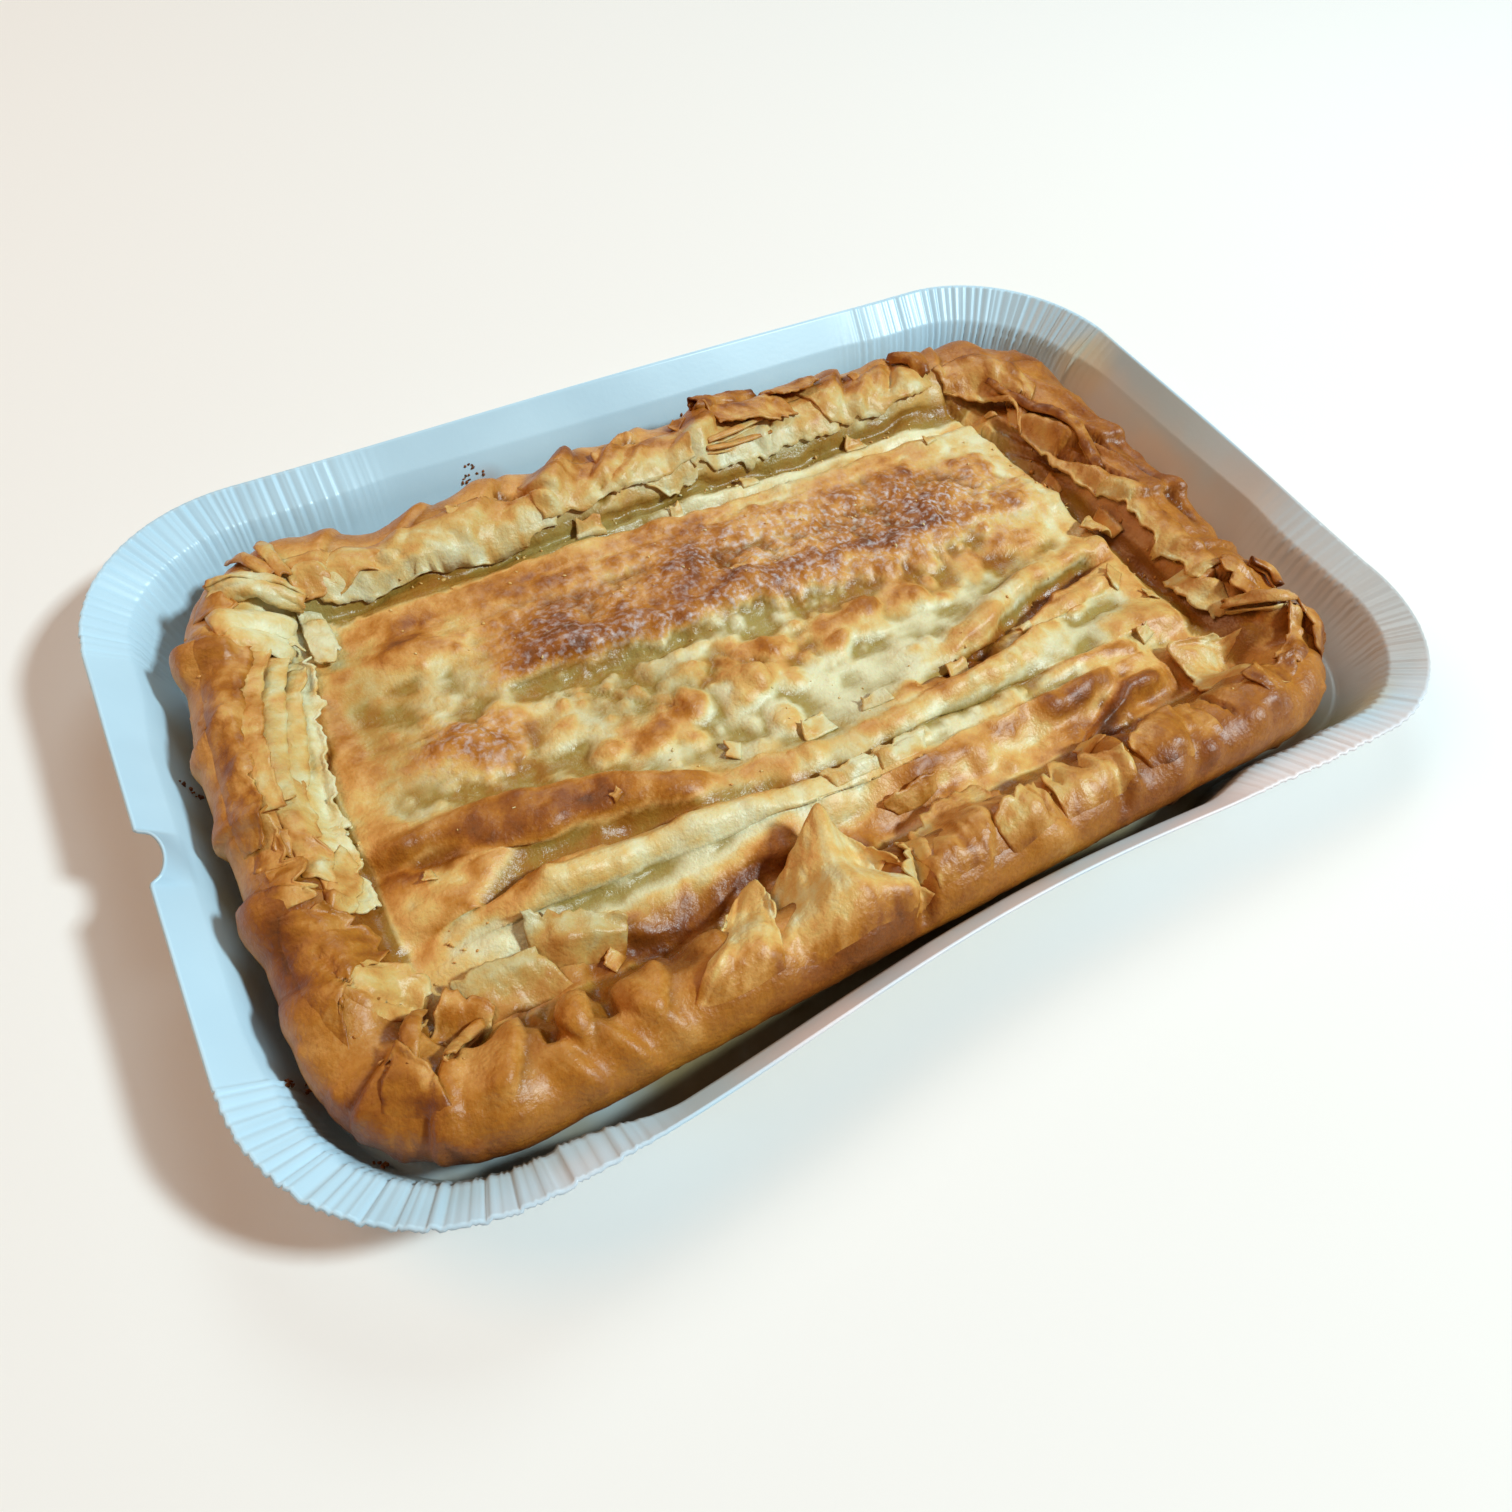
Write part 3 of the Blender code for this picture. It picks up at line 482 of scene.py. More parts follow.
# Browned and pale lines, and lines of painted shade down two deep grooves: points, half width on the
# left and the right, strength
TONED_AND_SHADED_LINES = (
    (((-134, -31), (-112, -28), (-94, -29), (-78, -32), (-64, -36.5)), 11, 8, 0.20),
    (((-134, -31), (-112, -28), (-94, -29), (-78, -32), (-62, -37), (-42, -42), (-26, -46)),
     11, 6, 0.15),
    (((-124, -46), (-104, -41.5), (-88, -39.5), (-70, -41), (-50, -44.5)), 3.5, 2.5, 0.12),
    (((-86, 16), (-60, 14.5), (-30, 12.5), (0, 11.5), (34, 9)), 5, 4, 0.18),
    (((-52, 19), (-20, 18.5), (20, 17), (56, 12), (88, 7)), 5, 4, 0.14),
    # Painted shade down the long groove of the lid's right half
    (((8, -38.5), (30, -38), (46, -35), (60, -31), (76, -26), (92, -22.5), (108, -21)),
     4.5, 2.5, 0.46),
    (((14, -42), (36, -41.5), (56, -38.5)), 2, 3, 0.20),
    (((-14, -60), (20, -60), (50, -60), (86, -58)), 5, 6, 0.26),
    (((44, -80), (50, -74), (60, -68.5), (70, -63.5), (86, -63)), 2.5, 5, 0.30),
    # Painted shade along the long crease across the front half of the lid
    (((-132, -49), (-109, -46), (-89, -41.5), (-55, -45.5), (-8, -51), (40, -51), (97, -53)),
     2.0, 1.4, 0.16),
    (((-126, -57), (-112, -52), (-96, -48.5), (-80, -47.5), (-60, -49.5), (-36, -53), (0, -56)),
     3, 7, -0.24),
    (((-60, 59.5), (0, 59), (60, 57.5), (110, 57)), 4, 4, -0.20),
    (((-40, 84), (-24, 80), (-14, 74)), 7, 5, 0.22),
    (((-2, 84), (14, 80), (40, 84), (80, 84)), 5, 4, 0.22),
)
# Oily, see-through places of the dough, patches of painted shade in the hollow behind the front rim,
# beside the right rim and along the crease at the back of the lid, and dry ones with a strength below
# zero
OILY_AND_SHADED = (
    (-44, 0, 13, 8, 0, 0.9), (-62, 2, 10, 7, 0, 0.5), (-72, 10, 16, 3, 0, 0.5),
    (-116, 28, 9, 26, 0, 0.75), (-88, 20, 16, 6, 0, 0.40), (-118, -12, 10, 12, 0, 0.45),
    (-50, -10, 22, 6, 0, 0.5), (-110, 8, 14, 20, 0, 0.30), (-110, -22, 24, 3, 0, 0.5),
    (-90, -62, 26, 5, 0, 0.5), (-20, -42, 26, 5, 0, 0.5), (95, -45, 16, 6, 0, 0.5),
    # Painted shade: (109, 10) beside the right rim, and the strong patches at y -68 to -79 in the
    # hollow behind the front rim
    (109, 10, 4, 44, 0, 0.8), (-100, -52, 26, 3, 0, 0.7), (-70, -76, 28, 7, 0, 0.9),
    (-26, -79, 8, 9, 0, 0.9), (-54, -69, 26, 5, 0, 0.9), (-100, -66, 16, 4, 0, 0.4),
    (-60, 46, 50, 5, 0, 0.25), (60, -44, 40, 4, 0, 0.35),
    (60, -76, 10, 4, 20, 0.9), (-84, -70, 22, 5, 0, 0.8), (-56, -76, 24, 6, 0, 0.9),
    (48, -14, 22, 7, 0, -0.6), (-83, -69, 16, 5, 0, 0.9), (-20, 3, 50, 5, -4, -0.4),
    (-62, -28, 10, 5, 0, -0.4),
    # Painted shade: two thin lines along the crease at the back of the lid, and one more patch behind
    # the front rim
    (-20, 57, 60, 1.5, -1, 0.6), (60, 55, 50, 1.5, -1, 0.7), (-40, -72, 20, 4, 0, 0.5),
)
# Crusty places full of tiny bubbles, and golden ones with larger blisters
GRAINY = ((10, 28, 46, 17, -6, 1.0), (66, 22, 34, 16, -6, 1.0), (-60, 24, 24, 16, 0, 0.5),
          (-94, -1, 14, 11, 0, 0.7), (-10, 11, 64, 4, -4, 0.7))
GOLDEN = ((-34, -6, 34, 16, 0, 1.0), (20, 2, 34, 10, 0, 0.6))
# Bubbles of the grainy places, of the whole lid and of the golden places: how many, smallest
# and largest half width, height, seed
BUBBLES = ((900, 1.2, 2.8, 0.85, 91), (130, 1.5, 6.0, 1.0, 92), (70, 2.5, 8.0, 2.6, 93),
           (160, 1.2, 2.6, 0.8, 94))


def patch(x, y, spot):
    """How strongly one soft oval patch covers each point."""
    cx, cy, half_x, half_y, turn, strength = spot
    c = math.cos(math.radians(turn))
    s = math.sin(math.radians(turn))
    a = ((x - cx) * c + (y - cy) * s) / half_x
    b = ((y - cy) * c - (x - cx) * s) / half_y
    return strength * np.exp(-(a * a + b * b))


def patches_at(x, y, spots):
    """All of a table's soft patches together, between 0 and 1."""
    total = np.zeros_like(x)
    for spot in spots:
        total += patch(x, y, spot)
    return np.clip(total, 0.0, 1.0)


def crusty_band(x, y):
    """The broad raised band across the lid that is baked darkest."""
    level = y + 0.035 * x
    ends = smooth(-92.0, -72.0, x) * smooth(104.0, 84.0, x)
    return ends * smooth(9.0, 15.0, level) * smooth(54.0, 42.0, level)


def side_shares(x, y):
    """How much each place belongs to the front, the right and the front-left corner."""
    front = smooth(-62.0, -84.0, y)
    right = smooth(100.0, 122.0, x)
    corner = smooth(-112.0, -140.0, x) * smooth(-30.0, -60.0, y)
    return front, right, corner


def browning_and_shade_at(x, y, nearest, u, v, crest):
    """How well baked the skin is, 0 pale dough and 1 dark brown, with painted shade along a few creases
    and in the hollow behind the front rim.
    """
    on_lid = smooth(PATH_END - 8.0, PATH_END + 2.0, nearest)
    top = bell(nearest, 24.0, 14.0)
    outer = smooth(20.0, 6.0, nearest)
    baked = 0.20 * on_lid + (1.0 - on_lid) * (0.40 + 0.10 * top + 0.24 * outer)
    wander_x = x + 6.0 * cloud(u, v, 14.0, 62) + 2.5 * cloud(u, v, 5.0, 63)
    wander_y = y + 3.5 * cloud(u, v, 14.0, 64) + 1.8 * cloud(u, v, 5.0, 65)
    front, right, corner = side_shares(x, y)
    low_face = smooth(27.0, 15.0, nearest)
    baked += (1.0 - on_lid) * (np.maximum((0.10 + 0.14 * low_face) * front, 0.18 * right)
                               + (0.05 + 0.13 * low_face) * corner)
    baked += 0.33 * crusty_band(wander_x, wander_y)
    for spot in BROWNED_AND_SHADED:
        baked += patch(wander_x, wander_y, spot)
    for spot in PALE:
        baked -= patch(wander_x, wander_y, spot)
    for line in TONED_AND_SHADED_LINES:
        baked += line_relief(0.7 * x + 0.3 * wander_x, 0.7 * y + 0.3 * wander_y, *line)
    baked += (0.09 + 0.06 * on_lid) * clouds(u, v, 26.0, 3, 61)
    baked += (0.03 + 0.09 * on_lid) * clouds(u, v, 5.0, 3, 71)
    baked += (0.05 + (0.20 - 0.16 * grain_zone(x, y)) * on_lid) * crest - 0.06 * on_lid
    return np.clip(baked, 0.0, 1.0)


def softened(values, rounds):
    """A grid of values, each one mixed with its neighbours again and again."""
    for _ in range(rounds):
        padded = np.pad(values, 1, mode="edge")
        beside = padded[:-2, 1:-1] + padded[2:, 1:-1] + padded[1:-1, :-2] + padded[1:-1, 2:]
        values = (beside + 4.0 * values) / 8.0
    return values


# Rounds of softening for the near and the wide surroundings, and the depth that counts as full
NEAR_ROUNDS, WIDE_ROUNDS = 60, 260
NEAR_DEPTH, WIDE_DEPTH = 1.3, 3.4


def hollows_and_crests(height):
    """How deep each place lies under, or stands over, what is round it: two shares."""
    near = softened(height, NEAR_ROUNDS)
    wide = softened(near, WIDE_ROUNDS)
    off = (near - height) / NEAR_DEPTH + (wide - height) / WIDE_DEPTH
    return np.clip(off, 0.0, 1.0), np.clip(-off, 0.0, 1.0)


def grain_zone(x, y):
    """Where the lid is crusty with tiny bubbles."""
    return patches_at(x, y, GRAINY)


def surface_normals(points):
    """Outward direction at each point of a grid of points."""
    down = np.gradient(points, axis=0)
    across = np.gradient(points, axis=1)
    normal = np.cross(across, down)
    return normal / np.maximum(np.linalg.norm(normal, axis=-1, keepdims=True), 1e-9)


def scatter_bumps(points, weight, count, size_low, size_high, height, seed):
    """Relief of many small round bubbles, thickest where the weight is high."""
    rng = np.random.default_rng(seed)
    flat = points.reshape(-1, 3)
    chance = weight.ravel() / weight.sum()
    centres = flat[rng.choice(len(flat), count, p=chance)]
    relief = np.zeros(len(flat))
    order = np.argsort(flat[:, 0])
    sorted_x = flat[order, 0]
    for centre in centres:
        size = rng.uniform(size_low, size_high)
        low, high = np.searchsorted(sorted_x, (centre[0] - size, centre[0] + size))
        near = order[low:high]
        far = np.linalg.norm(flat[near] - centre, axis=1) / size
        relief[near] = np.maximum(relief[near], height * size / size_high * bell(far, 0.0, 1.0))
    return relief.reshape(weight.shape)


def skin_relief(x, y, u, v, nearest, share_y, points):
    """Fine height of the baked skin over the plain form."""
    on_lid = smooth(PATH_END - 6.0, PATH_END + 2.0, nearest)
    above_base = smooth(3.0, 12.0, nearest)
    zone = grain_zone(x, y)
    relief = (0.18 + 0.50 * on_lid) * clouds(u, v, 15.0, 4, 21) * above_base
    relief += 1.1 * crusty_band(x, y) + 0.9 * on_lid * cloud(u / 2.2, v, 17.0, 22)
    relief += 0.60 * on_lid * (0.4 - np.abs(clouds(u / 3.6, v, 7.0, 4, 31)))
    along_rim = np.where(share_y > 0.5, u, v)
    across_rim = np.where(share_y > 0.5, v, u)
    relief += 0.14 * (1.0 - on_lid) * above_base * clouds(along_rim, across_rim / 3.0, 6.0, 3, 41)
    relief += 0.45 * zone * clouds(u, v, 3.0, 2, 51)
    uneven = (1.0 + 0.5 * cloud(u, v, 16.0, 86)) * above_base
    wander_x = x + 0.8 * cloud(u, v, 7.0, 81) + 1.5 * cloud(u, v, 24.0, 87)
    wander_y = y + 0.8 * cloud(u, v, 7.0, 82) + 1.7 * cloud(u, v, 24.0, 88)
    for line in CREASES:
        relief += line_relief(wander_x, wander_y, *line) * uneven
    on_top = smooth(11.0, 21.0, nearest)
    wander_x = x + 1.5 * cloud(u, v, 11.0, 83)
    wander_y = y + 1.5 * cloud(u, v, 11.0, 84)
    for line in RIM_PLEATS:
        relief += line_relief(wander_x, wander_y, *line) * on_top
    for cx, cy, half_x, half_y, rise in SWELLINGS:
        far = np.hypot((x - cx) / half_x, (y - cy) / half_y)
        relief += rise * bell(far + 0.12 * cloud(u, v, 8.0, 85), 0.0, 1.0)
    golden = 0.001 + patches_at(x, y, GOLDEN)
    for weight, bubbles in zip((0.02 + zone, 0.10 + on_lid, golden, golden), BUBBLES):
        relief += scatter_bumps(points, weight, *bubbles)
    return relief


def add_piece(name, bm, material):
    """Turn a bmesh in millimetres into an object in metres."""
    bmesh.ops.scale(bm, vec=(MM, MM, MM), verts=bm.verts)
    mesh = bpy.data.meshes.new(name)
    bm.to_mesh(mesh)
    bm.free()
    mesh.shade_smooth()
    mesh.materials.append(material)
    piece = bpy.data.objects.new(name, mesh)
    bpy.context.scene.collection.objects.link(piece)
    return piece


def grid_mesh(columns, rows):
    """A grid of vertices, with each vertex's column and row."""
    bm = bmesh.new()
    bmesh.ops.create_grid(bm, x_segments=columns - 1, y_segments=rows - 1, size=1.0)
    column = np.array([round((v.co.x + 1.0) / 2.0 * (columns - 1)) for v in bm.verts])
    row = np.array([round((v.co.y + 1.0) / 2.0 * (rows - 1)) for v in bm.verts])
    return bm, column, row


def pie_body(material):
    """The baked skin of the whole pie, closed underneath."""
    columns = round(ACROSS / SKIN_STEP) + 1
    rows = round(ALONG / SKIN_STEP) + 1
    u, v = np.meshgrid(np.linspace(0.0, ACROSS, columns), np.linspace(0.0, ALONG, rows))
    x, y, z, nearest, share_y = pie_surface(u, ACROSS - u, v, ALONG - v)
    points = np.stack([x, y, z], axis=-1)
    relief = skin_relief(x, y, u, v, nearest, share_y, points)
    points = points + surface_normals(points) * relief[..., None]
    on_lid = smooth(PATH_END - 6.0, PATH_END + 2.0, nearest)
    hollow, crest = hollows_and_crests(relief + on_lid * z)
    edge = np.zeros(x.shape, bool)
    edge[[0, -1], :] = True
    edge[:, [0, -1]] = True
    points[..., 2] = np.where(edge, PIE_BASE, np.maximum(points[..., 2], PIE_BASE))

    bm, column, row = grid_mesh(columns, rows)
    for vert, spot in zip(bm.verts, points[row, column]):
        vert.co = spot
    browning = browning_and_shade_at(x, y, nearest, u, v, crest)
    # Painted shade: the skin's hollows darken through the oil layer, and its crests are kept a little
    # lighter as painted light.
    oil_and_shade = np.clip(0.75 * patches_at(x, y, OILY_AND_SHADED) + hollow ** 1.5 - 0.25 * crest, 0.0, 1.0)
    for layer, values in zip(dough_layers(bm), (browning, grain_zone(x, y), oil_and_shade)):
        for vert, value in zip(bm.verts, values[row, column]):
            vert[layer] = value
    rim = [e for e in bm.edges if e.is_boundary]
    bmesh.ops.contextual_create(bm, geom=rim)
    bmesh.ops.recalc_face_normals(bm, faces=bm.faces)
    layer = bm.verts.layers.float[DOUGH_LAYERS[0]]
    baked = [face.verts[0][layer] for face in bm.faces]
    crust = (BVHTree.FromBMesh(bm), baked)
    return add_piece("pie_body", bm, material), crust


def crust_at(crust, x, y):
    """Height and browning of the crust's top at a place."""
    tree, baked = crust
    spot, _, face, _ = tree.ray_cast(Vector((x, y, ABOVE_ALL)), DOWN)
    if spot is None:
        return PIE_BASE, 0.5
    return spot.z, baked[face]


def raised(crust, points):
    """Points of x, y and height over the crust, as places in space."""
    return np.array([(x, y, crust_at(crust, x, y)[0] + lift) for x, y, lift in points])


def dough_layers(bm):
    """New layers of numbers for the dough's material to read."""
    return [bm.verts.layers.float.new(name) for name in DOUGH_LAYERS]


def join_into(bm, part):
    """Add one bmesh to another."""
    mesh = bpy.data.meshes.new("part")
    part.to_mesh(mesh)
    part.free()
    bm.from_mesh(mesh)
    bpy.data.meshes.remove(mesh)


def curve_through(points, count):
    """Evenly spaced points on a smooth curve through the given ones."""
    curve, walked = rounded(points, 16)
    places = np.linspace(0.0, walked[-1], count)
    return np.stack([np.interp(places, walked, curve[:, k]) for k in range(3)], axis=1)


def torn_edge(span, jag, seed):
    """How far a torn edge falls short of its line, in millimetres, along its length."""
    rng = np.random.default_rng(seed)
    count = max(8, round(span / SHEET_STEP)) + 1
    along = np.linspace(0.0, span, count)
    short = 1.5 * clouds(along + 50.0 * seed, np.full(count, 7.0 * seed), 8.0, 4, seed)
    short += 0.35 * rng.uniform(-1.0, 1.0, count)
    for _ in range(rng.integers(1, 3 + int(span / 14.0))):
        short += rng.uniform(0.8, 2.2) * bell(along, rng.uniform(0.0, span), rng.uniform(1.2, 3.0))
    return jag * short


def torn_sheet(bm, crust, seed, bulge, jag, hug, curl, oil_and_shade, root_baked, edge_baked,
               root_height, root, edge):
    """A thin torn sheet from its root on the crust to its free edge.

    It hugs the crust up to the share hug of its reach, and leaves it after that.
    """
    root = [(*point, root_height)[:3] for point in root]
    root_line = raised(crust, root)
    edge_line = raised(crust, edge)
    reach = np.linalg.norm(edge_line.mean(0) - root_line.mean(0))
    span = np.linalg.norm(np.diff(edge_line, axis=0), axis=1).sum()
    columns = max(8, round(span / SHEET_STEP)) + 1
    rows = max(7, round(reach / SHEET_STEP)) + 1
    even = np.linspace(0.0, 1.0, columns)
    sheet, column, row = grid_mesh(columns, rows)
    t = row / (rows - 1.0)
    share = column / (columns - 1.0)
    one = np.full(t.shape, 3.0 * seed)
    first = 1.6 * clouds(t * reach + 11.0 * seed, one, 5.0, 3, seed + 7) / span
    last = 1.6 * clouds(t * reach + 23.0 * seed, one, 5.0, 3, seed + 8) / span
    share = np.clip(share + t * (first * (1.0 - share) + last * share), 0.0, 1.0)

    def sampled(line, points):
        """Place and lift along one end of the sheet, at every vertex."""
        lifts = np.interp(even, np.linspace(0.0, 1.0, len(points)), [p[2] for p in points])
        values = np.column_stack([curve_through(line, columns), lifts])
        return np.stack([np.interp(share, even, value) for value in values.T])

    short = torn_edge(span, jag + 0.5, seed) / max(reach, 1.0)
    tip = smooth(0.78, 1.0, t)
    way = t * (1.0 - np.interp(share, even, short) * t) - 0.5 * curl / max(reach, 1.0) * tip
    near = sampled(root_line, root)
    x, y, z, lift = near + (sampled(edge_line, edge) - near) * way
    free = smooth(hug, min(hug + 0.5, 1.0), t) if hug < 1.0 else np.zeros(t.shape)
    arch = bulge * 4.0 * t * (1.0 - t) * np.sin(np.pi * (0.1 + 0.8 * share))
    u = share * span + 31.0 * seed
    crumple = 0.55 * clouds(u, t * reach, 7.0, 3, seed + 5)
    crumple += 0.35 * clouds(u, t * reach / 4.0, 3.4, 2, seed + 6)
    height = arch + crumple * np.sqrt(t) + curl * tip * tip
    tint = 0.20 * clouds(u, t * reach, 9.0, 3, seed + 9) + 0.10 * clouds(u, t * reach, 3.0, 2, seed)
    tint += 0.14 * smooth(0.84, 1.0, t) * (0.4 + cloud(u, t * reach, 12.0, seed + 4))
    own = 0.25 + 0.75 * smooth(0.05, 0.5, t)
    browning, _, oiled_and_shaded = dough_layers(sheet)
    for i, vert in enumerate(sheet.verts):
        ground, baked = crust_at(crust, x[i], y[i])
        on_crust = (ground + lift[i]) * (1.0 - free[i])
        vert.co = (x[i], y[i], on_crust + z[i] * free[i] + height[i])
        wanted = root_baked + (edge_baked - root_baked) * t[i]
        vert[browning] = min(max(baked + (wanted - baked) * own[i] + tint[i], 0.0), 1.0)
        vert[oiled_and_shaded] = oil_and_shade
    join_into(bm, sheet)


def rolled_strip(bm, crust, seed, radius, turns, start, inner_baked, outer_baked, spine):
    """A strip of dough rolled up lengthwise round its spine."""
    spine = raised(crust, spine)
    length = np.linalg.norm(np.diff(spine, axis=0), axis=1).sum()
    rows = max(6, round(length / SHEET_STEP)) + 1
    columns = max(10, round(2.0 * math.pi * radius * turns / 0.7)) + 1
    line = curve_through(spine, rows)
    heading = np.gradient(line, axis=0)
    heading /= np.linalg.norm(heading, axis=1, keepdims=True)
    side = np.cross(heading, (0.0, 0.0, 1.0))
    side /= np.linalg.norm(side, axis=1, keepdims=True)
    top = np.cross(side, heading)
    tube, column, row = grid_mesh(columns, rows)
    share = column / (columns - 1.0)
    place = row / (rows - 1.0)
    angle = 2.0 * math.pi * (start + turns * share)
    lumps = clouds(row * SHEET_STEP + 17.0 * seed, column * SHEET_STEP, 6.0, 3, seed)
    pinch = 0.14 * np.sin(3.0 * angle + 0.35 * row + seed)
    slim = 0.66 + 0.34 * np.sin(np.pi * (0.12 + 0.76 * place))
    size = radius * slim * (1.0 - 0.30 * share) * (1.0 + 0.30 * lumps + pinch)
    one = np.full(column.shape, 5.0 * seed)
    ragged = 1.1 * clouds(column * SHEET_STEP, one, 3.5, 2, seed + 3)
    away = side[row] * np.cos(angle)[:, None] + 0.8 * top[row] * np.sin(angle)[:, None]
    spots = line[row] + away * size[:, None]
    spots += heading[row] * (ragged * (2.0 * place - 1.0) ** 3)[:, None]
    baked = inner_baked + (outer_baked - inner_baked) * share + 0.22 * lumps
    baked += 0.10 * np.maximum(np.sin(angle), 0.0) + 0.18 * np.abs(2.0 * place - 1.0) ** 6
    browning, _, oiled_and_shaded = dough_layers(tube)
    for vert, spot, tone in zip(tube.verts, spots, baked):
        vert.co = spot
        vert[browning] = min(max(tone, 0.0), 1.0)
        vert[oiled_and_shaded] = 0.15
    join_into(bm, tube)


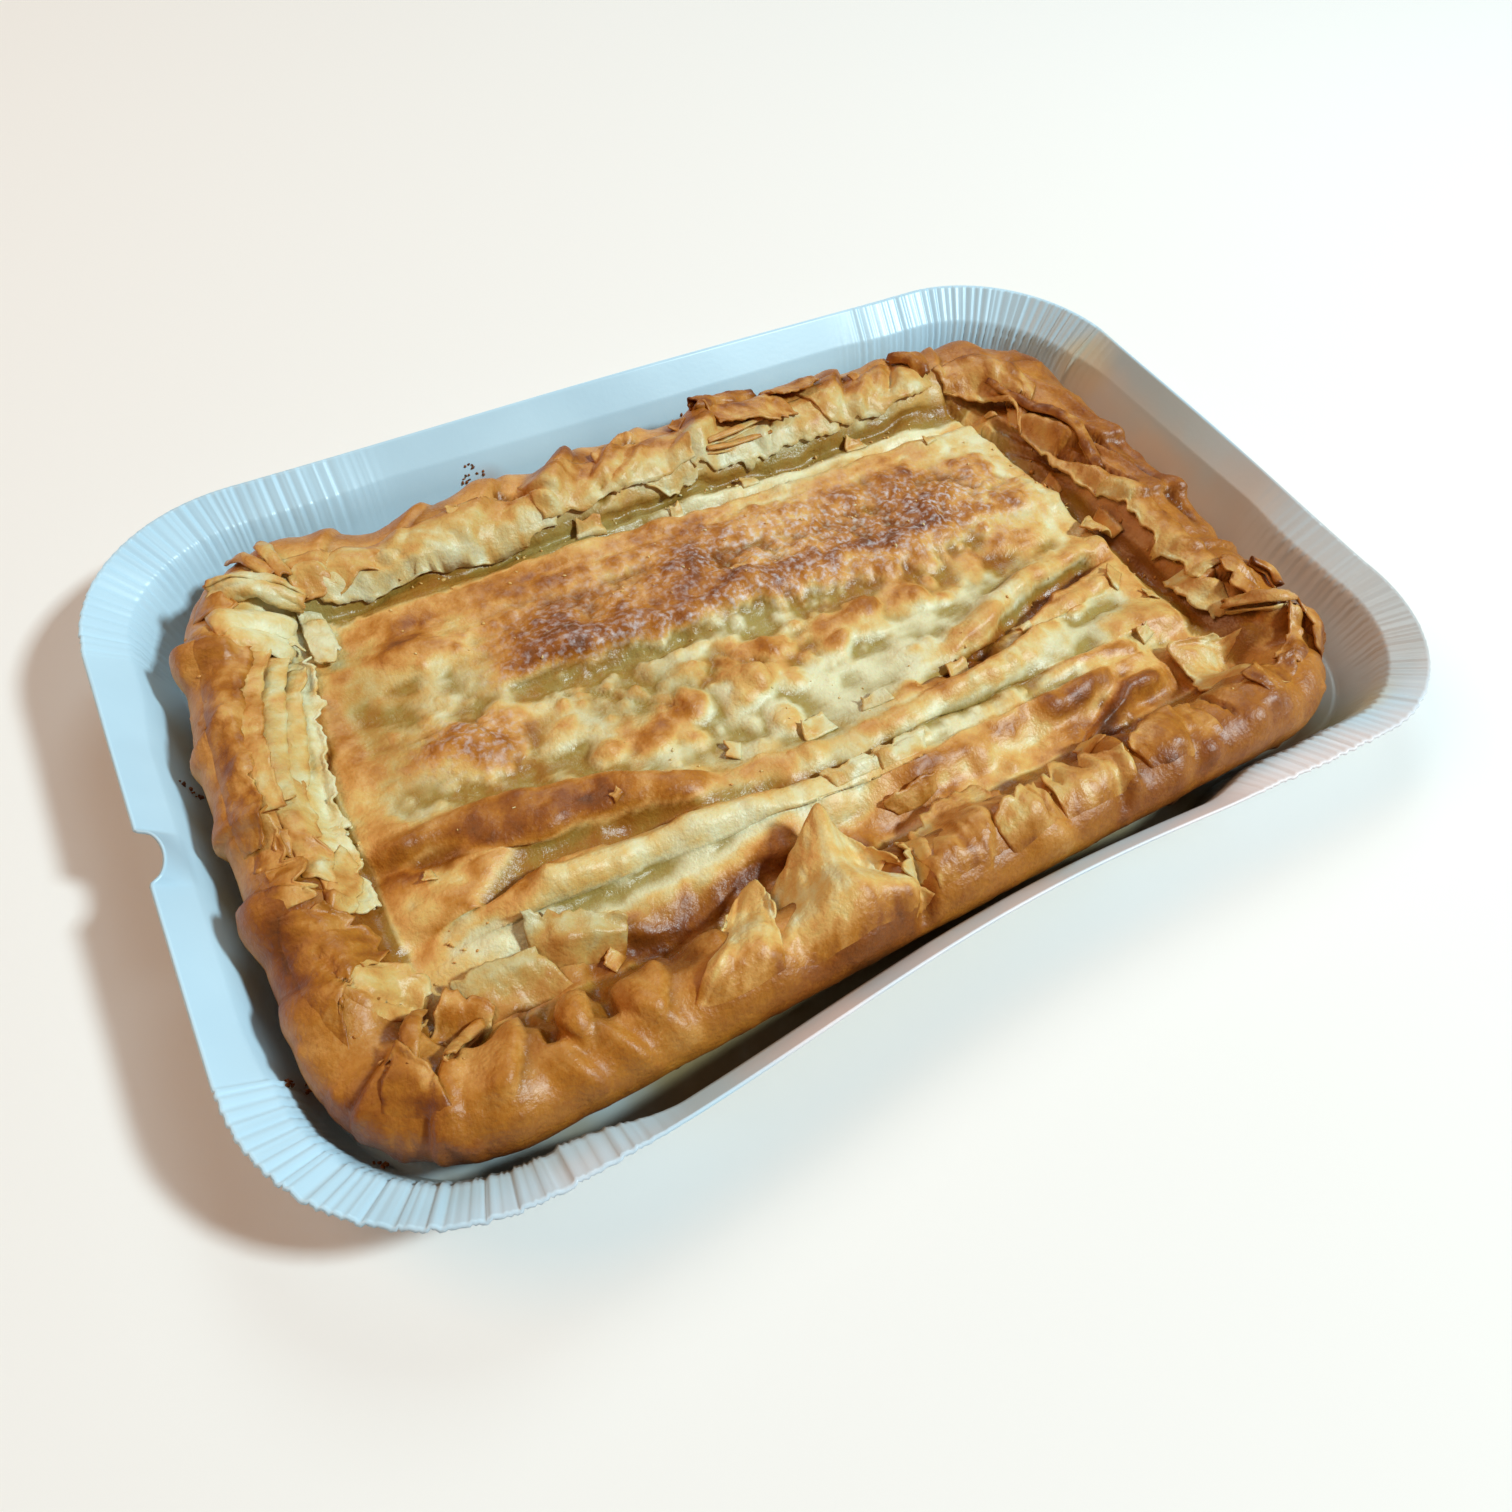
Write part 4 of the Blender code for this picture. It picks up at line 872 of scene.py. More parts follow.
# Torn sheets of each piece: seed, bulge, raggedness, share that hugs the crust, curl of
# the free edge, oil, browning at the root and at the edge, height of the root, then the
# points of the root and of the edge. A point is x, y and height over the crust, and a
# root point of two numbers has the height of the root.
SHEETS = {
    "back_flaps": (
        (21, 0.4, -0.25, 1, 0, 0.15, 0.5, 0.04, -0.6, ((-119, 75), (-90, 74), (-58, 76), (-44, 75)),
         ((-112, 61.5, 1.2), (-90, 61, 1.6), (-60, 61.5, 1.6), (-42, 63, 1.2))),
        (22, 0.5, -0.1, 1, 0.3, 0.15, 0.62, 0.12, -0.6, ((-48, 80), (-30, 79), (-10, 82), (8, 82)),
         ((-47, 64, 1.6), (-30, 64.5, 1.8), (-12, 66, 1.8), (6, 67.5, 1.6))),
        (23, 0.3, 0.3, 1, 0.4, 0.15, 0.4, 0.06, -0.6, ((2, 80), (24, 81), (50, 80), (60, 80)),
         ((4, 66, 0.8), (22, 66, 1), (40, 66.5, 1), (60, 65.5, 0.8))),
        (24, 1, 0, 1, 0.3, 0.15, 0.6, 0.14, -0.6, ((52, 84), (70, 83), (88, 83), (99, 82)),
         ((56, 67, 1.2), (70, 66.5, 1.6), (86, 66.5, 2), (100, 68, 1.4))),
        (25, 1.8, 1, 0.3, 0.8, 0.15, 0.62, 0.46, 0, ((17, 90), (30, 88), (45, 86)),
         ((20, 76, 3), (32, 72, 4), (44, 70, 3), (47, 72, 2))),
        (26, 0.4, 0.6, 0.6, 0.8, 0.15, 0.24, 0.14, -0.3, ((-12, 72), (0, 72), (8, 72)),
         ((-12, 65, 1), (-2, 63.5, 1.2), (5, 64, 1))),
        (27, 1, 1.4, 0.3, 0.8, 0.15, 0.55, 0.42, 0, ((42, 90), (52, 90), (62, 90)),
         ((40, 82, 3), (50, 80, 2.6), (60, 79, 2.8))),
    ),
    "back_left_flaps": (
        (41, 1.2, 0.3, 0.3, 0.8, 0.15, 0.4, 0.34, -0.3, ((-110, 70), (-102, 75), (-94, 73)),
         ((-107, 62, 1.5), (-99, 64, 2.6), (-91, 60.5, 1.6))),
        (42, 1, 0.3, 0.3, 0.8, 0.15, 0.36, 0.42, -0.3, ((-119, 70), (-114, 72), (-109, 70)),
         ((-118, 63, 1.5), (-112, 62, 2.2), (-107, 64, 1.6))),
        (43, 1.2, 0.5, 0.2, 0.8, 0.15, 0.06, 0.04, 0.5, ((-120, 62), (-117, 62, 0.8), (-114, 61)),
         ((-121, 41, 1.2), (-117, 38.5, 1), (-113.5, 42, 1.2))),
        (44, 1.2, 0.4, 0.2, 0.8, 0.15, 0.1, 0.06, 0.8, ((-126, 60), (-123, 61)),
         ((-127, 47, 2.2), (-122, 46, 2))),
        (46, 3.4, 0, 0, -0.6, 0, 0.2, 0.04, 1, ((-141, 64), (-141, 58), (-140, 51)),
         ((-122, 61, 3.2), (-121, 57, 4.2), (-124, 52, 2.6))),
        (47, 3, 0, 0, -0.4, 0, 0.26, 0.06, 0.5, ((-140, 56), (-139, 50), (-137, 46)),
         ((-125, 54, 2.6), (-124, 49, 3.2), (-126, 45, 1.8))),
        (45, 1.6, 0.8, 0.5, 0.8, 0.15, 0.6, 0.4, -0.5, ((-144, 63), (-140, 71), (-132, 78)),
         ((-133, 56, 2.2), (-129, 64, 3), (-125, 72, 2.2))),
    ),
    "left_flaps": (
        (61, 1.2, 0.8, 1, 0.8, 0.15, 0.56, 0.52, -0.6, ((-147, 56), (-150, 30), (-152, 8), (-153, -12)),
         ((-128, 49, 2.2), (-138, 33, 3), (-142, 10, 3.2), (-146, -14, 2.4))),
        (62, 0.5, 1.2, 1, 0.8, 0.15, 0.58, 0.44, -0.6, ((-152, -8), (-152, -20), (-151, -34)),
         ((-143, -4, 1.4), (-141, -20, 1.8), (-139, -34, 1))),
        (63, 0.6, 0.5, 1, 0.8, 0.15, 0.36, 0.3, 0.2, ((-141, 28), (-142, 4), (-142, -26)),
         ((-134, 24, 1.4), (-134, -4, 1.8), (-135, -30, 1.6))),
        (64, 1, 0.3, 0.4, 0.8, 0.15, 0.4, 0.26, 0.2, ((-139, -24), (-139, -31), (-140, -38)),
         ((-132, -16, 1.6), (-130, -27, 2.2), (-135, -37, 1.4))),
        (65, 1.4, -0.2, 0, 0.6, 0.1, 0.46, 0.34, 0.3,
         ((-136, 47), (-142, 31, 0.5), (-146, 12, 0.5), (-146, -6)),
         ((-129, 48, 4.4), (-134, 32, 6), (-138, 12, 6), (-139.5, -7, 3.6))),
        (66, 1.2, -0.2, 0, 0.5, 0.1, 0.4, 0.26, 0, ((-134, 45), (-139, 29), (-143, 12), (-143, -4)),
         ((-126, 45, 3.6), (-130.5, 29, 4.8), (-134.5, 11, 4.8), (-137, -3, 3))),
        (67, 1, -0.1, 0, 0.4, 0.1, 0.34, 0.16, 0, ((-131, 42), (-136, 28), (-139, 12), (-140, 0)),
         ((-123, 42, 2.6), (-127, 28, 3.4), (-131, 12, 3.4), (-134, 0, 2.4))),
        (73, 1, 0.7, 0.5, 0.8, 0.05, 0.16, 0.04, 0.6, ((-130, 46), (-134, 28), (-137, 8), (-139, -12)),
         ((-120, 45, 0.8), (-123.5, 28, 1.2), (-127, 8, 1.2), (-129, -12, 0.8))),
        (74, 0.8, 0.8, 0.5, 0.8, 0.05, 0.32, 0.1, 0.6, ((-138, -8), (-139, -22), (-138, -36)),
         ((-129, -8, 0.8), (-129, -22, 1), (-130, -36, 0.8))),
    ),
    "right_flaps": (
        (81, 1.4, 0.4, 0.5, 0.8, 0.15, 0.56, 0.36, -0.4, ((103, 74), (116, 76), (128, 66), (130, 50)),
         ((105, 66, 1), (114, 58, 2.8), (118, 48, 3.6), (114, 37, 2.6))),
        (82, 1.4, 0.2, 0.4, 0.8, 0.15, 0.54, 0.34, -0.3, ((122, 54), (124, 36), (124, 16), (122, 2)),
         ((115, 44, 1.4), (113, 28, 2.4), (114, 12, 2.4), (114, -1, 1.4))),
        (83, 0.8, 0.6, 1, 0.8, 0.15, 0.48, 0.22, -0.4, ((124, 4), (124, -14), (124, -32), (122, -46)),
         ((114, 0, 1.2), (115, -15, 1.6), (113, -32, 1.8), (111, -46, 1.4))),
        (84, 1.2, 0.6, 0.2, 0.8, 0.15, 0.3, 0.26, 0.4, ((114, -4), (114, -10), (113, -16)),
         ((104, -6, 1.6), (100, -9, 2), (104, -13, 1.6))),
        (85, 1.2, 0.3, 0.4, 0.8, 0.15, 0.36, 0.22, -0.3, ((118, -42), (117, -50), (114, -60)),
         ((108, -38, 1.6), (106, -48, 2), (108, -58, 1.4))),
        (86, 1.6, 0.3, 0.2, 0.8, 0.15, 0.58, 0.46, 0.5, ((124, -44), (125, -52, 0.8), (124, -62)),
         ((118, -46, 2.2), (115, -54, 3.4), (117, -64, 2.6))),
    ),
    "front_flaps": (
        (2, 1, -0.1, 0.25, 0.2, 0, 0.12, 0.3, -0.8, ((-68, -97), (-45, -98), (-20, -97)),
         ((-55, -75, 2.5), (-43, -68, 7), (-34, -63.5, 13), (-30, -70, 9), (-26, -84, 2))),
        (3, 2.2, 0, 0.3, 0.4, 0, 0.34, 0.2, -0.6, ((-84, -94), (-74, -96), (-62, -96)),
         ((-67, -78, 2.5), (-59, -70.5, 5), (-53, -69.5, 5.5), (-55, -79, 4))),
        (4, 1.5, 0.8, 0.4, 0.8, 0.15, 0.6, 0.34, -0.5, ((-20, -96), (-6, -95), (10, -95)),
         ((-20, -82, 2), (-13, -75, 3.6), (-4, -70, 3.6), (8, -71, 3), (13, -77, 3))),
        (5, 0.5, 0.8, 0.5, 0.8, 0.15, 0.26, 0.2, -0.3, ((-20, -93, -0.5), (-15, -84), (-12, -78)),
         ((-26, -88, 1.2), (-24, -81, 1.8), (-16, -75, 1.8))),
        (6, 1.4, 0.5, 0.5, 0.8, 0.15, 0.52, 0.3, -0.5, ((2, -96), (10, -95), (18, -94)),
         ((-1, -86, 2.4), (9, -83, 3.4), (18, -81, 3))),
        (7, 1.6, 0.6, 0.5, 0.8, 0.15, 0.52, 0.3, -0.5, ((19, -95), (30, -95), (42, -94)),
         ((20, -82, 2.4), (26, -79, 3.2), (35, -79, 3), (43, -85, 2))),
        (8, 1, 0.6, 0.5, 0.8, 0.15, 0.34, 0.24, -0.3, ((106, -90), (98, -80), (106, -70), (112, -66)),
         ((80, -81, 1.6), (88, -71, 2.2), (90, -60, 3.4), (104, -62, 2.4))),
        (18, 1.4, 0.5, 0.5, 0.8, 0.15, 0.68, 0.5, -0.5, ((112, -86), (120, -82), (126, -75)),
         ((106, -80, 1.6), (114, -75, 2.8), (121, -69, 2.4))),
        (19, 1.6, 0.2, 0.1, 1, 0.15, 0.62, 0.48, 0, ((124, -85), (129, -79), (131, -71)),
         ((119, -82, 3.4), (123, -76, 5), (125, -68, 3.4))),
        (20, 0.6, 0.6, 1, 0.8, 0.15, 0.66, 0.56, -0.6, ((92, -92), (101, -91), (109, -87)),
         ((88, -82, 1.4), (100, -79, 2), (111, -82, 1.6))),
        (29, 0.6, 0.5, 1, 0.8, 0.15, 0.64, 0.54, -0.6, ((48, -95), (60, -96), (74, -95)),
         ((46, -84, 1.4), (58, -79, 2), (72, -80, 1.6))),
        (9, 1, 0.2, 0.2, 0.8, 0.15, 0.44, 0.46, -0.2, ((-10, -68), (-4, -68.5), (3, -67)),
         ((-14, -64.5, 1.6), (-6, -64, 2.4), (3, -63, 1.6))),
        (10, 0.4, 0.4, 0.6, 0.8, 0.15, 0.22, 0.12, -0.2, ((-22, -57), (-15, -57), (-9, -57)),
         ((-24, -51, 0.8), (-16, -51.5, 1.4), (-8.5, -51.5, 1.2))),
        (11, 0.4, 0.5, 0.6, 0.8, 0.15, 0.22, 0.1, -0.2, ((-9, -58), (0, -58), (6, -57)),
         ((-8, -51.5, 1.2), (0, -51, 1.6), (8.5, -52, 0.8))),
    ),
    "front_left_flaps": (
        (12, 1.2, 0.5, 0.6, 0.8, 0.15, 0.74, 0.5, -0.5, ((-152, -34), (-151, -54), (-146, -70)),
         ((-140, -36, 1.2), (-131, -42, 2.4), (-133, -49, 2), (-142, -53, 1.6))),
        (13, 1, 0.5, 0.5, 0.8, 0.15, 0.44, 0.22, -0.3, ((-146, -52), (-142, -60), (-137, -65)),
         ((-133, -50, 2), (-126, -54, 2.6), (-127, -61, 2))),
        (14, 2.4, 0.2, 0.3, 0.8, 0.45, 0.24, 0.14, -0.3, ((-120, -72), (-110, -72), (-100, -72)),
         ((-124, -60, 2.4), (-116, -59.5, 3), (-104, -61, 2.2))),
        (15, 2.4, 0.6, 0.3, 0.8, 0.45, 0.22, 0.14, -0.3, ((-107, -66), (-97, -68), (-87, -70)),
         ((-104, -53, 3), (-98, -55, 2.8), (-90, -58, 2.6), (-83, -64, 1.8))),
        (16, 1.5, 0.5, 0.4, 0.8, 0.15, 0.58, 0.5, -0.3, ((-132, -70), (-126, -72), (-120, -73)),
         ((-127, -63, 2.6), (-123, -60.5, 3.2), (-117, -69, 2.2))),
        (17, 0.8, 0.5, 0.5, 0.8, 0.15, 0.66, 0.52, -0.4, ((-145, -84), (-138, -88), (-132, -90)),
         ((-139, -72, 2.4), (-136, -74, 3), (-133, -79, 2.4))),
    ),
}
# Rolled strips: seed, radius, turns, turn at the start, browning inside and outside, spine
STRIPS = {
    "back_flaps": (
        (31, 2.8, 1.3, 0.5, 0.46, 0.62, ((15, 86, 1.5), (26, 88, 2.2), (40, 91, 1.2))),
        (32, 1.4, 0.8, 0.1, 0.3, 0.22, ((12, 71, 1), (24, 73, 2), (34, 74.5, 1.6))),
        (33, 1.3, 0.8, 0.1, 0.36, 0.2, ((10, 68.5, 0.8), (22, 70, 1.2), (36, 71, 1))),
        (34, 3, 0.9, 0, 0.6, 0.36, ((92, 84, 1), (97, 78, 2.4), (98, 72, 1.6))),
    ),
    "back_left_flaps": (
        (51, 3.8, 1.1, 0.25, 0.1, 0.04, ((-138, 70, 1), (-128, 67, 3.6), (-117, 62.5, 3))),
        (54, 2.2, 0.8, 0.1, 0.34, 0.16, ((-121, 84, 0.2), (-121, 77, 1.4), (-119, 68, 1))),
        (55, 2.2, 0.8, 0.1, 0.3, 0.14, ((-130, 84, 0.2), (-126, 77, 1.2), (-122, 69, 1.2))),
    ),
    "right_flaps": (
        (91, 2.3, 0.8, 0.05, 0.58, 0.4, ((119, 62, 1), (123, 44, 2), (125, 26, 1.8), (122, 8, 0.6))),
        (92, 3, 0.9, 0.1, 0.34, 0.24, ((112, -58, 1.4), (119, -66, 2.4), (127, -66, 1.4))),
        (93, 1.8, 0.9, 0.1, 0.56, 0.5, ((128, -50, 1), (132, -55, 2), (131, -60, 1.2))),
    ),
    "front_left_flaps": (
        (111, 1.8, 0.8, 0.1, 0.42, 0.3, ((-136, -77, 1), (-133, -70, 3), (-131, -64, 2.4))),
        (112, 1.6, 0.8, 0.1, 0.36, 0.24, ((-129, -80, 0.8), (-126, -74, 2.4), (-121, -71, 2))),
    ),
}


def thin_piece(name, bm, material, thickness, offset=-1.0):
    """A piece of sheets that get their thickness from a modifier."""
    piece = add_piece(name, bm, material)
    wall = piece.modifiers.new("thickness", "SOLIDIFY")
    wall.thickness = thickness * MM
    wall.offset = offset
    return piece


def torn_piece(name, crust, material):
    """One piece of several thin torn sheets and rolled strips."""
    bm = bmesh.new()
    for row in SHEETS[name]:
        torn_sheet(bm, crust, *row)
    for row in STRIPS.get(name, ()):
        rolled_strip(bm, crust, *row)
    return thin_piece(name, bm, material, SHEET_THICKNESS)


# Small loose flakes: x, y, half size, turn in degrees, browning
FLAKES = (
    (-38, -33, 3.2, 60, 0.16), (-72, -35, 2.2, 20, 0.30), (-118, -33, 2.4, 100, 0.20),
    (-15, -36.5, 4.5, 5, 0.14), (4, -36, 3.6, -10, 0.14), (32, -37.5, 4.5, 8, 0.16),
    (58, -33, 3.0, 12, 0.24), (-137, -50, 2.6, 140, 0.34), (-143, -14, 2.8, 70, 0.50),
    (-146, -22, 2.4, 20, 0.46), (84, 48, 2.4, 10, 0.40), (-6, 57, 3.2, 0, 0.20),
    (22, 61, 3.6, 5, 0.22), (-34, 60, 3.8, -8, 0.18), (64, 62, 3.4, 0, 0.26),
    (96, -30, 4.0, 40, 0.24), (102, -40, 3.6, 70, 0.22), (88, -52, 3.2, 20, 0.26),
    (112, 16, 3.2, 80, 0.36), (118, -36, 3.0, 110, 0.40), (120, 30, 2.8, 60, 0.44),
    (-30, -82, 3.4, 30, 0.26), (44, -76, 3.6, 10, 0.30), (72, -78, 3.0, 50, 0.34),
    (-118, -64, 3.0, 10, 0.24), (-90, -70, 3.2, 40, 0.26), (114, 52, 2.8, 70, 0.44),
    (-102, -60, 2.6, 80, 0.22), (-20, 80, 3.4, 20, 0.50), (30, 78, 3.2, 150, 0.44),
    (76, 82, 3.4, 30, 0.48), (-70, 74, 2.8, 0, 0.36), (8, 84, 3.0, 40, 0.50),
)


def small_flakes(name, crust, material):
    """Thin loose flakes that lie on the crust with one edge lifted."""
    bm = bmesh.new()
    for number, (x, y, half, turn, baked) in enumerate(FLAKES):
        c = math.cos(math.radians(turn))
        d = math.sin(math.radians(turn))
        wide = half * (1.0 + 0.3 * math.sin(5.0 * number))
        root = [(x + c * k + d * 0.6 * half, y + d * k - c * 0.6 * half)
                for k in (-wide, 0.0, wide)]
        edge = [(x + c * k - d * 0.8 * half, y + d * k + c * 0.8 * half, 0.9 + 0.2 * abs(k))
                for k in (-0.7 * wide, 0.0, 0.8 * wide)]
        torn_sheet(bm, crust, FLAKE_SEED + number, 0.3, 0.1, 0.3, 0.5, 0.15, baked, baked + 0.06,
                   0.2, root, edge)
    return thin_piece(name, bm, material, FLAKE_THICKNESS, 0.0)


# Where crumbs lie: x, y, spread along x and y, how many, size, browning
CRUMBS = (
    (-130, -12, 1.4, 8, 20, 0.6, 0.06), (-132, -28, 1.6, 8, 10, 0.55, 0.10),
    (-146, -18, 3.5, 6, 12, 0.8, 0.42), (0, 30, 90, 22, 60, 0.42, 0.16),
    (0, -30, 100, 12, 30, 0.45, 0.22), (-126, -56, 14, 8, 24, 0.6, 0.30),
    (110, 0, 5, 50, 34, 0.6, 0.34), (40, 62, 60, 2.2, 36, 0.55, 0.14),
    (-60, 61, 40, 1.8, 16, 0.5, 0.16), (20, -86, 60, 4, 26, 0.55, 0.36),
    (126, -72, 6, 10, 26, 0.75, 0.55), (-146, 20, 5, 40, 16, 0.5, 0.42),
    (-134, -70, 10, 10, 18, 0.6, 0.40),
)
# Baked scraps on the tray beside the pie: x, y, spread, how many
TRAY_CRUMBS = ((-159.5, 24, 1.4, 9), (-158, -62, 1.6, 9), (-150, -84, 1.8, 8),
               (-54, 99, 3.2, 14), (-58, 100, 2.0, 8), (20, 97, 5.0, 5), (148, 10, 3.0, 4))


def crumbs(name, crust, tray_inside, material):
    """Small lumps of baked dough on the crust and on the tray round it."""
    rng = np.random.default_rng(CRUMB_SEED)
    bm = bmesh.new()
    browning = dough_layers(bm)[0]

    def drop(x, y, z, size, baked):
        turn = Matrix.Rotation(rng.uniform(0.0, 6.28), 4, Vector(rng.normal(size=3)).normalized())
        made = bmesh.ops.create_icosphere(bm, subdivisions=1, radius=size)["verts"]
        stretch = rng.uniform((0.7, 0.5, 0.35), (1.5, 1.1, 0.8))
        for vert in made:
            spot = Vector([a * b for a, b in zip(vert.co, stretch)]) * rng.uniform(0.8, 1.25)
            vert.co = turn @ spot + Vector((x, y, z))
            vert[browning] = baked

    for cx, cy, spread_x, spread_y, count, size, baked in CRUMBS:
        for _ in range(count):
            x = cx + spread_x * float(np.clip(rng.normal(), -1.8, 1.8)) * 0.6
            y = cy + spread_y * float(np.clip(rng.normal(), -1.8, 1.8)) * 0.6
            grown = size * rng.uniform(0.5, 1.4)
            drop(x, y, crust_at(crust, x, y)[0] + 0.25 * grown, grown,
                 float(np.clip(baked + rng.uniform(-0.1, 0.2), 0.0, 1.0)))
    for cx, cy, spread, count in TRAY_CRUMBS:
        for _ in range(count):
            x = cx + spread * float(rng.uniform(-1.0, 1.0))
            y = cy + spread * float(rng.uniform(-1.0, 1.0))
            ground = tray_inside.ray_cast(Vector((x, y, ABOVE_ALL)), DOWN)[0]
            drop(x, y, ground.z + 0.2, rng.uniform(0.3, 0.9), rng.uniform(0.7, 1.0))
    return add_piece(name, bm, material)


def tray_sides():
    """The four straight sides: start, direction, outward normal, length."""
    half_x = TRAY_LENGTH / 2.0
    half_y = TRAY_WIDTH / 2.0
    radius = TRAY_CORNER_RADIUS
    long_run = TRAY_LENGTH - 2.0 * radius
    short_run = TRAY_WIDTH - 2.0 * radius
    return (
        ((-half_x + radius, -half_y), (1.0, 0.0), (0.0, -1.0), long_run),
        ((half_x, -half_y + radius), (0.0, 1.0), (1.0, 0.0), short_run),
        ((half_x - radius, half_y), (-1.0, 0.0), (0.0, 1.0), long_run),
        ((-half_x, half_y - radius), (0.0, -1.0), (-1.0, 0.0), short_run),
    )


def blend(a, b, share):
    return a + (b - a) * share


def side_station(side, place):
    """One place on a straight side of the rim."""
    start, heading, normal, run = tray_sides()[side]
    t = place / run
    swell = math.sin(math.pi * t) ** 2
    first, last = PLEAT_RUN[side]
    plain = float(smooth(first - FLANGE_BLEND, first, place)
                  * smooth(run - last + FLANGE_BLEND, run - last, place))
    reach = -SIDE_BOW[side] * swell
    lift = blend(CORNER_LIFT[side], CORNER_LIFT[(side + 1) % 4], t) + SIDE_LIFT[side] * swell
    flange = blend(FLANGE_AT_CORNER, FLANGE_ON_SIDE[side], plain)
    wall = blend(WALL_AT_CORNER, WALL_ON_SIDE[side], plain)
    x = start[0] + heading[0] * place + normal[0] * reach
    y = start[1] + heading[1] * place + normal[1] * reach
    if side == 3:
        off = min(abs(y - NOTCH_AT) / NOTCH_HALF_WIDTH, 1.0)
        cut = NOTCH_DEPTH * math.sqrt(1.0 - off * off)
        return (x + cut, y, lift, normal, flange - cut, wall, 0.0)
    return (x, y, lift, normal, flange, wall, 1.0 - plain)


def corner_station(corner, turn):
    """One place on a rounded corner of the rim, turn degrees round its arc."""
    side = (corner + 3) % 4
    start, heading, normal, run = tray_sides()[side]
    radius = TRAY_CORNER_RADIUS
    cx = start[0] + heading[0] * run - normal[0] * radius
    cy = start[1] + heading[1] * run - normal[1] * radius
    angle = math.atan2(normal[1], normal[0]) + math.radians(turn)
    normal = (math.cos(angle), math.sin(angle))
    x = cx + radius * normal[0]
    y = cy + radius * normal[1]
    return (x, y, CORNER_LIFT[corner], normal, FLANGE_AT_CORNER, WALL_AT_CORNER, 1.0)


def tray_stations():
    """All places round the rim, in order, close together everywhere."""
    stations = []
    arc = math.pi / 2.0 * TRAY_CORNER_RADIUS
    for side in range(4):
        run = tray_sides()[side][3]
        for place in np.linspace(0.0, run, round(run / TRAY_FINE_STEP), endpoint=False):
            stations.append(side_station(side, float(place)))
        for turn in np.linspace(0.0, 90.0, round(arc / TRAY_FINE_STEP), endpoint=False):
            stations.append(corner_station((side + 1) % 4, float(turn)))
    return stations


def pleat_heights(count, seed):
    """Height of the narrow pleats at each station: pairs of ridges, unevenly spaced."""
    rng = np.random.default_rng(seed)
    height = np.zeros(count)
    place = 0.0
    while place < count - 6:
        place += rng.uniform(3.4, 6.4)
        size = rng.uniform(0.5, 1.0)
        for twin, share in ((0.0, 1.0), (rng.uniform(1.6, 2.3), 0.7)):
            middle = place + twin
            for k in range(int(middle) - 2, int(middle) + 4):
                height[k % count] += size * share * bell(np.array(k - middle), 0.0, 1.4)
    return height


# Share of the wall where its pressed bead runs
BEAD_AT = 0.86
# Rings of the tray from floor to edge: share of the way from foot to crease or edge
FLOOR_RINGS = (-14.0, -6.0, -1.6)
WALL_RINGS = (0.0, 0.10, 0.35, 0.65, BEAD_AT, 0.90, 1.0)
FLANGE_RINGS = (0.10, 0.35, 0.65, 0.92, 1.0)
PLEAT_DEPTH = 0.9
# How the foot of the wall and the pressed bead near its top are shifted, out and up
FOOT_SHIFT = (0.15, 0.25)
BEAD_SHIFT = (-0.25, 0.1)


def tray_ring(kind, share, station, pleat):
    """Where one ring of the tray passes one station."""
    x, y, lift, normal, flange, wall, pleated = station
    foot = np.array([-flange - wall, BOARD])
    crease = np.array([-flange, CREASE_HEIGHT + 0.5 * lift])
    edge = np.array([0.0, RIM_HEIGHT + lift])
    if kind == "floor":
        spot = foot + np.array([share, 0.0])
        rise = 0.0
    elif kind == "wall":
        spot = foot + (crease - foot) * share
        if share == 0.0:
            spot = spot + FOOT_SHIFT
        if share == BEAD_AT:
            spot = spot + BEAD_SHIFT
        rise = pleated * float(smooth(0.30, 0.85, share))
    else:
        spot = crease + (edge - crease) * share
        rise = pleated
    run, climb = edge - foot
    tilt = np.array([-climb, run]) / math.hypot(run, climb)
    spot = spot + tilt * PLEAT_DEPTH * pleat * rise
    return (x + normal[0] * spot[0], y + normal[1] * spot[0], spot[1])


def paper_tray(material):
    """The pleated tray: floor, wall and flange in one sheet of board."""
    stations = tray_stations()
    pleats = pleat_heights(len(stations), PLEAT_SEED)
    rings = [("floor", s) for s in FLOOR_RINGS] + [("wall", s) for s in WALL_RINGS]
    rings += [("flange", s) for s in FLANGE_RINGS]
    bm = bmesh.new()
    bmesh.ops.create_circle(bm, cap_ends=True, radius=1.0, segments=len(stations))
    ring = list(bm.verts)
    for number, (kind, share) in enumerate(rings):
        if number:
            edges = [e for e in bm.edges if e.is_boundary]
            grown = bmesh.ops.extrude_edge_only(bm, edges=edges)["geom"]
            new_verts = {v for v in grown if isinstance(v, bmesh.types.BMVert)}
            ring = [next(e.other_vert(v) for e in v.link_edges if e.other_vert(v) in new_verts)
                    for v in ring]
        for v, station, pleat in zip(ring, stations, pleats):
            v.co = tray_ring(kind, share, station, pleat)
    bmesh.ops.recalc_face_normals(bm, faces=bm.faces)
    floor = max(bm.faces, key=lambda face: len(face.verts))
    if floor.normal.z < 0.0:
        bmesh.ops.reverse_faces(bm, faces=bm.faces)
    inside = BVHTree.FromBMesh(bm)
    return thin_piece("paper_tray", bm, material, SHOWN_BOARD), inside


def fill(tree, node, values):
    """Set a node's inputs, or link them where a value is another node's output."""
    for key, value in values.items():
        if isinstance(value, bpy.types.NodeSocket):
            tree.links.new(value, node.inputs[key])
        else:
            node.inputs[key].default_value = value


